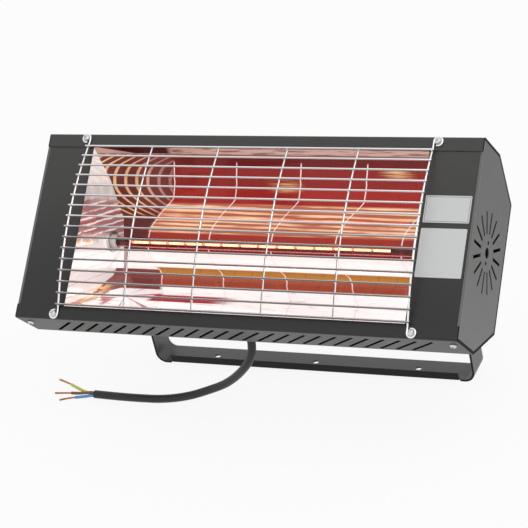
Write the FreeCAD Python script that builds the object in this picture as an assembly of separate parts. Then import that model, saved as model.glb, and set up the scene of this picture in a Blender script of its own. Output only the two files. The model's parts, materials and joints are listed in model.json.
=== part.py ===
import FreeCAD, Part
import math
import os

# Infrared heater on a tilting U bracket. Millimetres, +Z up, front towards -Y.
# The origin is the centre of the bracket's mounting face, which lies on Z = 0.
# The heater is modelled upright in its own frame (origin at the centre of the front face,
# X right, Y to the rear, Z up) and then leaned back about the pivot.

V = FreeCAD.Vector

# Fits
SEAT_GAP = 0.1            # between pieces that lie on or in each other
SCREW_GAP = 0.15          # radial, round a screw or rivet
PIVOT_GAP = 0.05          # radial, round a pivot bolt

# Housing: folded sheet, open at the front between two lips
BODY_WIDTH = 455.0
BODY_HEIGHT = 190.0
BODY_DEPTH = 96.0
TOP_DEPTH = 46.0          # flat top and bottom, before the slope to the rear wall
REAR_HEIGHT = 126.0
STEEL = 1.0
BEND = 2.0                # outside radius of the folds
LIP = 13.5

# Slanted vents, alike in the top and the bottom
VENT_INSET = 26.0         # least distance of a vent from the end of the housing
VENT_PITCH = 15.5
VENT_WIDTH = 3.0
VENT_FRONT = 10.0         # front end, from the front face
VENT_REACH = 32.0         # front to back
VENT_SLANT = 30.0         # sideways shift from front to back

# End plates: shallow pans with a ring of radial slots
END_FLANGE = 14.0
FRONT_RETURN = 1.5
RING_DEPTH = 46.0         # ring centre, from the front face
RING_COUNT = 16
RING_INNER = 17.5
RING_OUTER = 38.2
RING_SLOT = 3.0
RING_HOLE = 10.0
SIDE_HOLE = 4.0
SIDE_HOLE_RISE = 9.7
END_SCREW_INSET = 9.0     # from the end of the housing
END_SCREW_DEPTH = 16.0    # top and bottom, from the front face
END_SCREW_RISE = 40.0     # rear, above and below the middle

# Mouth and reflector: a folded trough with leaning cheeks
END_BAY = 51.5            # from the mouth to the end of the housing
MIRROR = 0.8              # reflector sheet
MIRROR_FLANGE = 10.0      # behind each lip
SHOULDER_DEPTH = 36.5
SHOULDER_HEIGHT = 119.0
WAIST_DEPTH = 68.0
WAIST_HEIGHT = 59.0
MIRROR_DEPTH = 77.0       # fold behind the lamp
CHEEK_LEAN = 10.0         # each cheek leans in by this, front to back
CHEEK_RIM = 5.0           # beyond the trough
CHEEK_FLANGE = 15.0
CHEEK_HOLE = 16.0
HAT_OFFSET = 100.0        # reflector brackets, from the middle
HAT_WIDTH = 24.0
HAT_WEB = 24.0
HAT_FOOT = 14.0

# Lamp
LAMP_DEPTH = 57.5
LAMP_RISE = 2.4           # above the middle of the housing
TUBE_DIAMETER = 10.0
TUBE_WALL = 1.0
TUBE_SHORT = 16.0         # tube shorter than the mouth
DARK_END = 30.0           # mean length of tube beyond the lit length
COIL_SHIFT = -7.0         # lit length to the left of the tube's middle
COIL_COUNT = 14
COIL_DIAMETER = 3.6
COIL_GAP = 1.4
LEAD_DIAMETER = 1.0
SUPPORT = 0.5
CAP_DIAMETER = 14.0
CAP_LENGTH = 26.0
CAP_SEAT = 6.0            # tube inside the cap, and cap inside its holder
HOLDER_LENGTH = 24.0
HOLDER_DEPTH = 22.0
HOLDER_HEIGHT = 24.0

# Guard: welded wire grid, bowed forward, hung on four screws
WIRE = 2.0
WELD_GAP = 0.02
CROSS_COUNT = 16
UPRIGHT_COUNT = 6
GUARD_OVERLAP = 4.0       # side wires beyond the mouth
CROSS_INSET = 0.5         # first and last cross wire inside the mouth's height
STUB = 4.0                # cross wires beyond the side wires
BOW_INSET = 4.0           # from an eye's centre to where the side wire leaves the front face
BOW_PEAK = 20.0           # forward, where the straight runs of the bow would meet
BOW_ROUND = 0.81          # share of the straight runs that the bow's arc takes up
BOW_FOOT = 15.0           # bend radius where the bow starts
EYE_RADIUS = 4.0
EYE_INSET = 5.0           # eye centre below the housing's edge
EYE_TURN = 290.0

# Screws, nuts and rivets
SCREW = 4.0
SCREW_HEAD = 7.0
SCREW_HEAD_HEIGHT = 2.2
SCREW_LENGTH = 10.0
NUT_ACROSS = 7.0
NUT_HEIGHT = 3.2
RIVET = 4.8
RIVET_HEAD = 8.0
RIVET_HEAD_HEIGHT = 1.6

# Bracket: strip steel folded to a U, with a stiffening lip along its front edge
LEG_INSET = 51.0          # leg's outer face, from the end of the housing
BRACKET_WIDTH = 29.0
BRACKET_STEEL = 2.0
BRACKET_BEND = 11.0
BRACKET_LIP = 9.3
BRACKET_LIP_SHORT = 17.5  # lip ends short of each leg's outer face
BRACKET_LIP_BEND = 2.5
BRACKET_RELIEF = 1.5
FIXING_HOLE = 6.6
FIXING_SPACING = 112.0

# Pivot
REST_TILT = 49.0          # front face leaned back, degrees
PIVOT_HEIGHT = 135.0      # above the mounting face
PIVOT_BACK = 19.0         # behind the rear wall
PIVOT_RISE = 16.0         # above the middle of the housing
BOLT = 6.0
BOLT_ACROSS = 10.0
BOLT_HEAD = 4.0
BOLT_NUT = 5.0
BOLT_TAIL = 2.0           # shank beyond the nut
WASHER = 1.2
WASHER_DIAMETER = 12.5
FRICTION_DIAMETER = 18.0
LUG_STEEL = 2.0
LUG_RADIUS = 12.0
LUG_FOOT = 32.0
LUG_HEIGHT = 40.0
LUG_RIVET_SPACING = 24.0

# Cord entry on the lower rear slope
GLAND_OFFSET = -15.0      # from the middle
GLAND_FROM_REAR = 16.0    # along the slope, from the rear wall
GLAND_THREAD = 16.0
GLAND_FLANGE = 3.0
GLAND_ACROSS = 19.0
GLAND_NOSE = 6.0
GLAND_NOSE_DIAMETER = 11.5
GLAND_SHANK = 9.0
GLAND_NUT = 4.0
GLAND_NUT_ACROSS = 21.0

# Supply cord, its cores and what they feed
CORD = 8.4
CORE = 2.8
STRAND = 1.8
CORD_LEAVE = 9.0          # straight run out of the gland's nose
CORE_LEAVE = 5.0          # straight run of a core out of the sheath, and of its strand out of the core
TAIL_INSIDE = 2.0         # sheath beyond the gland's shank
BLOCK_OFFSET = 30.0       # terminal block's near end, from the gland
BLOCK_LENGTH = 32.0
BLOCK_DEPTH = 20.0
BLOCK_HEIGHT = 26.0
CORE_BEND = 8.0
WIRE_RISE = 19.0          # wires above the slope where they meet the block
LEAD = 3.0
LEAD_SPREAD = 8.0         # lamp leads to each side of the block's middle
LEAD_BEND = 10.0
STUD = 5.0
STUD_OFFSET = 18.0        # beyond the block
STUD_HEIGHT = 12.0
TAG = 1.0
TAG_DIAMETER = 11.0

# Route of the free cord after the gland's nose, and of its cores, in the part's own frame.
# A core starts across and up from the middle of the cord's cut end.
CORD_ROUTE = [(-17.2, -94.3, 75.9), (-21.4, -94.4, 66.6), (-27.5, -92.4, 58), (-36, -89.7, 48.9),
              (-47.4, -86.7, 39.2), (-61.2, -84, 29.5), (-79.5, -82, 19.3), (-105, -83, 9.8),
              (-135, -84.5, 4.6), (-164, -85.3, 4.3), (-193, -85, 4.3), (-216.2, -84, 4.3)]
CORE_STARTS = {"core_earth": (1.8, -0.9), "core_live": (0, 1.8), "core_neutral": (-1.8, -0.9)}
CORE_ROUTES = {
    "core_earth": [(-229, -79.4, 2.2), (-242, -73.3, 1.6), (-254, -67.1, 1.5)],
    "core_live": [(-227, -83.6, 5), (-237, -82.6, 2.6), (-246.4, -81.8, 1.8)],
    "core_neutral": [(-227, -86.4, 2.1), (-239, -88.4, 1.5)],
}
STRAND_ENDS = {
    "core_earth": (-272.8, -59.5, 1.4),
    "core_live": (-265.9, -83.3, 1.2),
    "core_neutral": (-254.5, -94.6, 1.4),
}

# Worked-out places in the heater's own frame
HALF_WIDTH = BODY_WIDTH / 2
HALF_HEIGHT = BODY_HEIGHT / 2
VENT_COUNT = 1 + int((BODY_WIDTH - 2 * VENT_INSET - VENT_SLANT) / VENT_PITCH)
BODY = [(0, HALF_HEIGHT), (TOP_DEPTH, HALF_HEIGHT), (BODY_DEPTH, REAR_HEIGHT / 2),
        (BODY_DEPTH, -REAR_HEIGHT / 2), (TOP_DEPTH, -HALF_HEIGHT), (0, -HALF_HEIGHT)]
HALF_MOUTH = HALF_WIDTH - END_BAY
MOUTH_RISE = HALF_HEIGHT - LIP
PANEL_FRONT = STEEL + SEAT_GAP
CHEEK_FRONT = PANEL_FRONT + STEEL + SEAT_GAP
PANEL_RISE = HALF_HEIGHT - 2 * STEEL - 5 * SEAT_GAP
REAR_INSIDE = BODY_DEPTH - STEEL - SEAT_GAP
SIDE_X = HALF_MOUTH + GUARD_OVERLAP
UPRIGHT_Y = -WIRE / 2 - SEAT_GAP
BOW_START = HALF_HEIGHT - EYE_INSET - BOW_INSET
BOW_ANGLE = math.atan2(BOW_PEAK, BOW_START)
BOW_RADIUS = BOW_ROUND * math.hypot(BOW_START, BOW_PEAK) / math.tan(BOW_ANGLE)
CROSS_AHEAD = (WIRE + WELD_GAP) / math.cos(BOW_ANGLE)
CROSS_RISE = MOUTH_RISE - CROSS_INSET
EYE_SPOTS = [(side * (SIDE_X + EYE_RADIUS), rise * (HALF_HEIGHT - EYE_INSET)) for side in (-1, 1)
             for rise in (-1, 1)]
TUBE_HALF = HALF_MOUTH - TUBE_SHORT / 2
CAP_START = TUBE_HALF - CAP_SEAT
CAP_END = CAP_START + CAP_LENGTH
HOLDER_START = CAP_END - CAP_SEAT
HOLDER_END = HOLDER_START + HOLDER_LENGTH
END_SCREW_X = HALF_WIDTH - END_SCREW_INSET
FOOT_SCREW_X = HOLDER_END - HOLDER_LENGTH / 2
HAT_HALF = HAT_WEB / 2
HAT_SCREW_RISE = HAT_HALF + HAT_FOOT / 2
LEG_OUTSIDE = HALF_WIDTH - LEG_INSET
LEG_INSIDE = LEG_OUTSIDE - BRACKET_STEEL
LUG_OUTSIDE = LEG_INSIDE - WASHER
PIVOT_Y = BODY_DEPTH + PIVOT_BACK
LUG_RIVET_X = LUG_OUTSIDE - LUG_FOOT * 0.6
SLOPE_ANGLE = math.degrees(math.atan2((BODY_HEIGHT - REAR_HEIGHT) / 2, BODY_DEPTH - TOP_DEPTH))
LEAN = FreeCAD.Placement(V(0, 0, PIVOT_HEIGHT), FreeCAD.Rotation(V(1, 0, 0), -REST_TILT)).multiply(
    FreeCAD.Placement(V(0, -PIVOT_Y, -PIVOT_RISE), FreeCAD.Rotation()))

# Frame on the lower rear slope at the cord entry: X along the housing, Z into the housing
SLOPE_EDGE = FreeCAD.Placement(V(GLAND_OFFSET, BODY_DEPTH, -REAR_HEIGHT / 2),
                               FreeCAD.Rotation(V(1, 0, 0), SLOPE_ANGLE))
SLOPE = SLOPE_EDGE.multiply(FreeCAD.Placement(V(0, -GLAND_FROM_REAR, 0), FreeCAD.Rotation()))


# Outlines and plain forms

def right_of(start, end):
    length = math.hypot(end[0] - start[0], end[1] - start[1])
    return (end[1] - start[1]) / length, (start[0] - end[0]) / length


def offset(points, distance, closed=True):
    """The outline moved to the right of its direction, with mitred corners."""
    moved = []
    last = len(points) - 1
    for i, (a, b) in enumerate(points):
        sides = []
        if closed or i > 0:
            sides.append(right_of(points[i - 1], points[i]))
        if closed or i < last:
            sides.append(right_of(points[i], points[(i + 1) % len(points)]))
        first, second = sides[0], sides[-1]
        share = distance / (1 + first[0] * second[0] + first[1] * second[1])
        moved.append((a + (first[0] + second[0]) * share, b + (first[1] + second[1]) * share))
    return moved


def sheet(points, thickness):
    """Closed outline of a folded sheet, given one of its faces."""
    return points + offset(points, thickness, closed=False)[::-1]


def towards(start, end):
    run = end - start
    return run * (1 / run.Length)


def turn_at(before, corner, after):
    return (corner - before).getAngle(after - corner)


def path(points, radii):
    """Straight runs, with a tangent arc of its own radius at each inner point."""
    edges = []
    here = points[0]
    for i, radius in enumerate(radii, start=1):
        corner = points[i]
        back = towards(corner, points[i - 1])
        onward = towards(corner, points[i + 1])
        half_turn = turn_at(points[i - 1], corner, points[i + 1]) / 2
        reach = radius * math.tan(half_turn)
        middle = towards(V(), back + onward) * (radius / math.cos(half_turn) - radius)
        start, end = corner + back * reach, corner + onward * reach
        edges.append(Part.LineSegment(here, start).toShape())
        edges.append(Part.Arc(start, corner + middle, end).toShape())
        here = end
    edges.append(Part.LineSegment(here, points[-1]).toShape())
    return Part.Wire(edges)


def closed_face(points, radius=0.0):
    if radius <= 0:
        return Part.Face(Part.makePolygon(points + points[:1]))
    middle = (points[0] + points[-1]) * 0.5
    return Part.Face(path([middle] + points + [middle], [radius] * len(points)))


def prism_x(points, start, end, radius=0.0):
    """Outline in (Y, Z), run along X."""
    return closed_face([V(start, y, z) for y, z in points], radius).extrude(V(end - start, 0, 0))


def prism_y(points, start, end, radius=0.0):
    """Outline in (X, Z), run along Y."""
    return closed_face([V(x, start, z) for x, z in points], radius).extrude(V(0, end - start, 0))


def prism_z(points, start, end):
    """Outline in (X, Y), run along Z."""
    return closed_face([V(x, y, start) for x, y in points]).extrude(V(0, 0, end - start))


def box(x, y, z):
    low, high = zip(sorted(x), sorted(y), sorted(z))
    return Part.makeBox(*[b - a for a, b in zip(low, high)], V(*low))


def rod(start, end, diameter):
    return Part.makeCylinder(diameter / 2, (end - start).Length, start, end - start)


def ring(start, end, diameter, bore):
    return rod(start, end, diameter).cut(rod(start, end, bore))


def hexagon(across, height):
    corner = across / math.sqrt(3)
    return prism_z([(corner * math.cos(math.radians(60 * k)), corner * math.sin(math.radians(60 * k)))
                    for k in range(6)], 0, height)


def slot(start, end, width, deep):
    """Straight slot of one width from start to end, cut along the vector deep."""
    across = towards(V(), deep.cross(end - start)) * (width / 2)
    return closed_face([start + across, end + across, end - across, start - across]).extrude(deep)


def tube(wire, diameter):
    """Round bar along a path."""
    start = wire.OrderedEdges[0]
    heading = start.tangentAt(start.FirstParameter)
    circle = Part.Wire(Part.makeCircle(diameter / 2, start.valueAt(start.FirstParameter), heading))
    return wire.makePipe(Part.Face(circle))


def seat(shape, point, outward):
    """The shape with its +Z turned to outward and its origin at point."""
    placed = shape.copy()
    placed.Placement = FreeCAD.Placement(point, FreeCAD.Rotation(V(0, 0, 1), outward))
    return placed


def mirrored(shape):
    return shape.mirror(V(), V(1, 0, 0))


def within(place, shape):
    placed = shape.copy()
    placed.Placement = place.multiply(shape.Placement)
    return placed


# Fasteners, with the head above Z = 0 and the shank below

def screw(length):
    head = Part.makeCone(SCREW_HEAD / 2, SCREW_HEAD / 3, SCREW_HEAD_HEIGHT)
    return head.fuse(rod(V(), V(0, 0, -length), SCREW))


def rivet(grip):
    head = Part.makeCone(RIVET_HEAD / 2, RIVET_HEAD / 3, RIVET_HEAD_HEIGHT)
    tail = rod(V(0, 0, -grip), V(0, 0, -grip - RIVET_HEAD_HEIGHT), RIVET_HEAD * 0.8)
    return head.fuse(rod(V(), V(0, 0, -grip), RIVET)).fuse(tail)


def nut(across, height, bore):
    return hexagon(across, height).cut(rod(V(), V(0, 0, height), bore))


def screw_hole(point, direction, reach):
    return rod(point - direction * reach, point + direction * reach, SCREW + 2 * SCREW_GAP)


# Places of the fasteners on the housing, each a point on the outside and its outward direction

def end_screw_spots():
    spots = []
    for side in (-1, 1):
        for up in (-1, 1):
            spots.append((V(side * END_SCREW_X, END_SCREW_DEPTH, up * HALF_HEIGHT), V(0, 0, up)))
            spots.append((V(side * END_SCREW_X, BODY_DEPTH, up * END_SCREW_RISE), V(0, 1, 0)))
    return spots


def hat_screw_spots():
    return [(V(side * HAT_OFFSET, BODY_DEPTH, up * HAT_SCREW_RISE), V(0, 1, 0)) for side in (-1, 1)
            for up in (-1, 1)]


def foot_screw_spots():
    return [(V(side * FOOT_SCREW_X, BODY_DEPTH, LAMP_RISE), V(0, 1, 0)) for side in (-1, 1)]


def lug_rivet_spots():
    return [V(side * LUG_RIVET_X, BODY_DEPTH, PIVOT_RISE + up * LUG_RIVET_SPACING / 2) for side in (-1, 1)
            for up in (-1, 1)]


def guard_screw_spots():
    return [V(x, 0, z) for x, z in EYE_SPOTS]


# Housing

def vents():
    slots = []
    for k in range(VENT_COUNT):
        middle = (k - (VENT_COUNT - 1) / 2) * VENT_PITCH
        front = V(middle + VENT_SLANT / 2, VENT_FRONT, -BODY_HEIGHT)
        rear = V(middle - VENT_SLANT / 2, VENT_FRONT + VENT_REACH, -BODY_HEIGHT)
        slots.append(slot(front, rear, VENT_WIDTH, V(0, 0, 2 * BODY_HEIGHT)))
    return slots


def housing_shell():
    outside = prism_x(BODY, -HALF_WIDTH, HALF_WIDTH, BEND)
    hollow = prism_x(offset(BODY, STEEL), -BODY_WIDTH, BODY_WIDTH, BEND - STEEL)
    mouth = box((-BODY_WIDTH, BODY_WIDTH), (-BEND, STEEL + BEND), (-MOUTH_RISE, MOUTH_RISE))
    holes = [screw_hole(point, outward, 3 * STEEL) for point, outward in
             end_screw_spots() + hat_screw_spots() + foot_screw_spots()]
    holes += [screw_hole(point, V(0, 1, 0), 3 * STEEL) for point in guard_screw_spots()]
    holes += [rod(p - V(0, 3 * STEEL, 0), p + V(0, STEEL, 0), RIVET + 2 * SCREW_GAP)
              for p in lug_rivet_spots()]
    entry = within(SLOPE, rod(V(0, 0, -STEEL), V(0, 0, 3 * STEEL), GLAND_THREAD + 2 * SCREW_GAP))
    return outside.cut(hollow).cut([mouth, entry] + vents() + holes)


def end_plate():
    pan = offset(BODY, STEEL + SEAT_GAP)
    inner = HALF_WIDTH - END_FLANGE
    floor = HALF_WIDTH - STEEL
    plate = prism_x(pan, inner, HALF_WIDTH, BEND - STEEL)
    hollow = prism_x(offset(pan, STEEL), 0, floor)
    front = box((0, floor - FRONT_RETURN), (0, CHEEK_FRONT + STEEL), (-BODY_HEIGHT, BODY_HEIGHT))
    cuts = [hollow, front, rod(V(0, RING_DEPTH, 0), V(BODY_WIDTH, RING_DEPTH, 0), RING_HOLE)]
    deep = V(BODY_WIDTH, 0, 0)
    for k in range(RING_COUNT):
        angle = 2 * math.pi * k / RING_COUNT
        spoke = V(0, math.sin(angle), math.cos(angle))
        centre = V(0, RING_DEPTH, 0)
        cuts.append(slot(centre + spoke * RING_INNER, centre + spoke * RING_OUTER, RING_SLOT, deep))
    for up in (-1, 1):
        cuts.append(rod(V(0, RING_DEPTH, up * SIDE_HOLE_RISE), V(BODY_WIDTH, RING_DEPTH, up * SIDE_HOLE_RISE),
                        SIDE_HOLE))
    cuts += [screw_hole(point, outward, 4 * STEEL) for point, outward in end_screw_spots()]
    return plate.cut(cuts)


def front_panel():
    edge = HALF_WIDTH - STEEL - FRONT_RETURN - 3 * SEAT_GAP
    panel = box((HALF_MOUTH, edge), (PANEL_FRONT, PANEL_FRONT + STEEL), (-PANEL_RISE, PANEL_RISE))
    return panel.cut([screw_hole(point, V(0, 1, 0), BODY_DEPTH) for point in guard_screw_spots()])


# Reflector

def mirror_face():
    """The trough's mirrored face, from the upper flange to the lower one."""
    upper = [(PANEL_FRONT, MOUTH_RISE + MIRROR_FLANGE), (PANEL_FRONT, MOUTH_RISE),
             (SHOULDER_DEPTH, SHOULDER_HEIGHT / 2), (WAIST_DEPTH, WAIST_HEIGHT / 2)]
    return upper + [(MIRROR_DEPTH, 0)] + [(y, -z) for y, z in reversed(upper)]


def cheek_x(depth):
    return HALF_MOUTH - CHEEK_LEAN * (depth - PANEL_FRONT) / (MIRROR_DEPTH - PANEL_FRONT)


def reflector_trough():
    front, rear = PANEL_FRONT, BODY_DEPTH
    right = [(cheek_x(rear) - SEAT_GAP, rear), (cheek_x(front) - 3 * SEAT_GAP, front)]
    wedge = prism_z(right + [(-x, y) for x, y in reversed(right)], -BODY_HEIGHT, BODY_HEIGHT)
    trough = prism_x(sheet(mirror_face(), -MIRROR), -BODY_WIDTH, BODY_WIDTH)
    return trough.common(wedge)


def reflector_cheek():
    trough = mirror_face()[1:-1]
    rim = offset(trough, -MIRROR - CHEEK_RIM, closed=False)
    rim[0] = (CHEEK_FRONT, PANEL_RISE)
    rim[-1] = (CHEEK_FRONT, -PANEL_RISE)
    rear = BODY_DEPTH
    slab = prism_z([(cheek_x(CHEEK_FRONT), CHEEK_FRONT), (cheek_x(CHEEK_FRONT) + MIRROR, CHEEK_FRONT),
                    (cheek_x(rear) + MIRROR, rear), (cheek_x(rear), rear)], -BODY_HEIGHT, BODY_HEIGHT)
    flange = box((cheek_x(CHEEK_FRONT), HALF_MOUTH + CHEEK_FLANGE), (CHEEK_FRONT, CHEEK_FRONT + MIRROR),
                 (-PANEL_RISE, PANEL_RISE))
    cheek = prism_x(rim, 0, BODY_WIDTH).common(slab).fuse(flange).removeSplitter()
    hole = rod(on_axis(0), on_axis(BODY_WIDTH), CHEEK_HOLE)
    return cheek.cut([hole] + [screw_hole(point, V(0, 1, 0), BODY_DEPTH) for point in guard_screw_spots()])


def reflector_bracket(middle):
    web = max(y for y, z in offset(mirror_face(), -MIRROR, closed=False)) + SEAT_GAP
    foot = REAR_INSIDE - STEEL
    upper = [(web, HAT_HALF), (foot, HAT_HALF), (foot, HAT_HALF + HAT_FOOT)]
    hat = sheet([(y, -z) for y, z in reversed(upper)] + upper, STEEL)
    shape = prism_x(hat, middle - HAT_WIDTH / 2, middle + HAT_WIDTH / 2)
    return shape.cut([screw_hole(point, outward, 4 * STEEL) for point, outward in hat_screw_spots()])


# Lamp, along X at the reflector's focus

def on_axis(x):
    return V(x, LAMP_DEPTH, LAMP_RISE)


def lamp_tube():
    return ring(on_axis(-TUBE_HALF), on_axis(TUBE_HALF), TUBE_DIAMETER, TUBE_DIAMETER - 2 * TUBE_WALL)


def coil_ends():
    lit = 2 * (TUBE_HALF - DARK_END)
    pitch = lit / COIL_COUNT
    first = COIL_SHIFT - lit / 2
    return [(first + k * pitch + COIL_GAP / 2, first + (k + 1) * pitch - COIL_GAP / 2)
            for k in range(COIL_COUNT)]


def lamp_filament():
    tip = TUBE_HALF - SEAT_GAP
    outline = [V(-tip, 0, 0), V(-tip, 0, LEAD_DIAMETER / 2)]
    for start, end in coil_ends():
        outline += [V(start, 0, LEAD_DIAMETER / 2), V(start, 0, COIL_DIAMETER / 2),
                    V(end, 0, COIL_DIAMETER / 2), V(end, 0, LEAD_DIAMETER / 2)]
    outline += [V(tip, 0, LEAD_DIAMETER / 2), V(tip, 0, 0)]
    filament = closed_face(outline).revolve(V(), V(1, 0, 0), 360)
    filament.translate(on_axis(0))
    return filament


def lamp_supports():
    bore = TUBE_DIAMETER - 2 * TUBE_WALL
    places = [start - COIL_GAP / 2 for start, end in coil_ends()] + [coil_ends()[-1][1] + COIL_GAP / 2]
    return [ring(on_axis(x - SUPPORT / 2), on_axis(x + SUPPORT / 2), bore - 2 * SEAT_GAP,
                 LEAD_DIAMETER + 2 * SEAT_GAP) for x in places]


def lamp_cap():
    cap = rod(on_axis(CAP_START), on_axis(CAP_END), CAP_DIAMETER)
    return cap.cut(rod(on_axis(CAP_START), on_axis(TUBE_HALF + SEAT_GAP), TUBE_DIAMETER + 2 * SEAT_GAP))


def lamp_holder():
    block = box((HOLDER_START, HOLDER_END), (LAMP_DEPTH - HOLDER_DEPTH / 2, LAMP_DEPTH + HOLDER_DEPTH / 2),
                (LAMP_RISE - HOLDER_HEIGHT / 2, LAMP_RISE + HOLDER_HEIGHT / 2))
    socket = rod(on_axis(HOLDER_START), on_axis(CAP_END + SEAT_GAP), CAP_DIAMETER + 2 * SEAT_GAP)
    return block.cut([socket, screw_hole(on_axis(HOLDER_END), V(1, 0, 0), SCREW_LENGTH)])


def holder_bracket():
    start = HOLDER_END + SEAT_GAP
    height = (LAMP_RISE - HOLDER_HEIGHT / 2, LAMP_RISE + HOLDER_HEIGHT / 2)
    plate = box((start, start + STEEL), (LAMP_DEPTH - HOLDER_DEPTH / 2, REAR_INSIDE), height)
    foot = box((HOLDER_START, start), (REAR_INSIDE - STEEL, REAR_INSIDE), height)
    holes = [screw_hole(on_axis(start), V(1, 0, 0), SCREW_LENGTH)]
    holes += [screw_hole(point, outward, 4 * STEEL) for point, outward in foot_screw_spots()]
    return plate.fuse(foot).removeSplitter().cut(holes)


def holder_screw():
    return seat(screw(SCREW_LENGTH - 2 * STEEL), on_axis(HOLDER_END + SEAT_GAP + STEEL), V(1, 0, 0))


# Guard

def bowed_line(x, rise):
    """Middle line of an upright, from the height rise down to its mirror image."""
    ahead = BOW_PEAK * (1 - rise / BOW_START)
    ends = [V(x, UPRIGHT_Y - ahead, z) for z in (rise, -rise)]
    return path([ends[0], V(x, UPRIGHT_Y - BOW_PEAK, 0), ends[1]], [BOW_RADIUS])


def bow_y(z):
    level = Part.LineSegment(V(0, -BODY_DEPTH, z), V(0, BODY_DEPTH, z)).toShape()
    return bowed_line(0, BOW_START).distToShape(level)[1][0][0].y


def cross_wires():
    reach = SIDE_X + STUB
    step = 2 * CROSS_RISE / (CROSS_COUNT - 1)
    spots = [(bow_y(z) - CROSS_AHEAD, z) for z in (CROSS_RISE - k * step for k in range(CROSS_COUNT))]
    return [rod(V(-reach, y, z), V(reach, y, z), WIRE) for y, z in spots]


def upright_wires():
    step = 2 * SIDE_X / (UPRIGHT_COUNT - 1)
    return [tube(bowed_line(-SIDE_X + k * step, CROSS_RISE + WIRE / 2), WIRE)
            for k in range(1, UPRIGHT_COUNT - 1)]


def eye_arcs(rise, start):
    """Eye of a side wire in two arcs, counted from the angle start."""
    def point(angle):
        a = math.radians(angle)
        return V(SIDE_X + EYE_RADIUS + EYE_RADIUS * math.cos(a), UPRIGHT_Y, rise + EYE_RADIUS * math.sin(a))
    quarter = EYE_TURN / 4
    return [Part.Arc(*[point(start + (2 * half + k) * quarter) for k in range(3)]).toShape() for half in (0, 1)]


def side_wire():
    rise = HALF_HEIGHT - EYE_INSET
    heights = [rise, BOW_START, 0, -BOW_START, -rise]
    corners = [V(SIDE_X, UPRIGHT_Y if z else UPRIGHT_Y - BOW_PEAK, z) for z in heights]
    bowed = path(corners, [BOW_FOOT, BOW_RADIUS, BOW_FOOT])
    return tube(Part.Wire(eye_arcs(rise, 180 - EYE_TURN) + bowed.OrderedEdges + eye_arcs(-rise, 180)), WIRE)


def guard_screws():
    front = UPRIGHT_Y - WIRE / 2
    return [seat(screw(SCREW_LENGTH), V(p.x, front, p.z), V(0, -1, 0)) for p in guard_screw_spots()]


def guard_nuts():
    front = CHEEK_FRONT + MIRROR + SEAT_GAP
    return [seat(nut(NUT_ACROSS, NUT_HEIGHT, SCREW + 2 * SCREW_GAP), V(p.x, front, p.z), V(0, 1, 0))
            for p in guard_screw_spots()]


# Bracket and pivot

def mounting_bracket():
    outer, top = LEG_OUTSIDE, PIVOT_HEIGHT + BRACKET_WIDTH
    half = BRACKET_WIDTH / 2
    inner, floor = LEG_INSIDE, BRACKET_STEEL
    strip = prism_y([(-outer, top), (-outer, 0), (outer, 0), (outer, top)], -half, half, BRACKET_BEND)
    hollow = prism_y([(-inner, 2 * top), (-inner, floor), (inner, floor), (inner, 2 * top)], -half, half,
                     BRACKET_BEND - BRACKET_STEEL)
    legs = box((-outer, outer), (-half, half), (0, PIVOT_HEIGHT))
    legs = legs.fuse(rod(V(-outer, 0, PIVOT_HEIGHT), V(outer, 0, PIVOT_HEIGHT), BRACKET_WIDTH))
    lip_end = outer - BRACKET_LIP_SHORT
    fold = -half + BRACKET_LIP_BEND
    notch = box((-lip_end - BRACKET_RELIEF, lip_end + BRACKET_RELIEF), (-half, fold), (0, BRACKET_STEEL))
    holes = [rod(V(k * FIXING_SPACING, 0, 0), V(k * FIXING_SPACING, 0, BRACKET_STEEL), FIXING_HOLE)
             for k in (-1, 0, 1)]
    holes.append(rod(V(-outer, 0, PIVOT_HEIGHT), V(outer, 0, PIVOT_HEIGHT), BOLT + 2 * PIVOT_GAP))
    return strip.cut(hollow).common(legs).cut([notch] + holes).fuse(bracket_lip(lip_end, fold)).removeSplitter()


def bracket_lip(lip_end, fold):
    """Front edge of the strip folded up, from the line where the fold starts."""
    front = -BRACKET_WIDTH / 2
    inner = BRACKET_LIP_BEND - BRACKET_STEEL
    diagonal = math.sqrt(0.5)
    centre = V(-lip_end, fold, BRACKET_LIP_BEND)

    def arc(radius):
        return Part.Arc(centre + V(0, 0, -radius), centre + V(0, -radius, -radius) * diagonal,
                        centre + V(0, -radius, 0)).toShape()

    corners = [V(-lip_end, front, BRACKET_LIP_BEND), V(-lip_end, front, BRACKET_LIP),
               V(-lip_end, front + BRACKET_STEEL, BRACKET_LIP), V(-lip_end, fold - inner, BRACKET_LIP_BEND)]
    edges = [arc(BRACKET_LIP_BEND)] + [Part.LineSegment(a, b).toShape() for a, b in zip(corners, corners[1:])]
    edges += [arc(inner), Part.LineSegment(V(-lip_end, fold, BRACKET_STEEL), V(-lip_end, fold, 0)).toShape()]
    return Part.Face(Part.Wire(Part.__sortEdges__(edges))).extrude(V(2 * lip_end, 0, 0))


def pivot_lug():
    """Angle on the rear wall, with a round-ended ear for the pivot bolt."""
    ear = (LUG_OUTSIDE - LUG_STEEL, LUG_OUTSIDE)
    foot = box((LUG_OUTSIDE - LUG_FOOT, LUG_OUTSIDE), (BODY_DEPTH + SEAT_GAP, BODY_DEPTH + SEAT_GAP + LUG_STEEL),
               (PIVOT_RISE - LUG_HEIGHT / 2, PIVOT_RISE + LUG_HEIGHT / 2))
    arm = box(ear, (BODY_DEPTH + SEAT_GAP, PIVOT_Y), (PIVOT_RISE - LUG_RADIUS, PIVOT_RISE + LUG_RADIUS))
    end = rod(V(ear[0], PIVOT_Y, PIVOT_RISE), V(ear[1], PIVOT_Y, PIVOT_RISE), 2 * LUG_RADIUS)
    holes = [rod(V(0, PIVOT_Y, PIVOT_RISE), V(BODY_WIDTH, PIVOT_Y, PIVOT_RISE), BOLT + 2 * PIVOT_GAP)]
    holes += [rod(p, p + V(0, 2 * LUG_STEEL, 0), RIVET + 2 * SCREW_GAP) for p in lug_rivet_spots()]
    return foot.fuse([arm, end]).removeSplitter().cut(holes)


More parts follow.
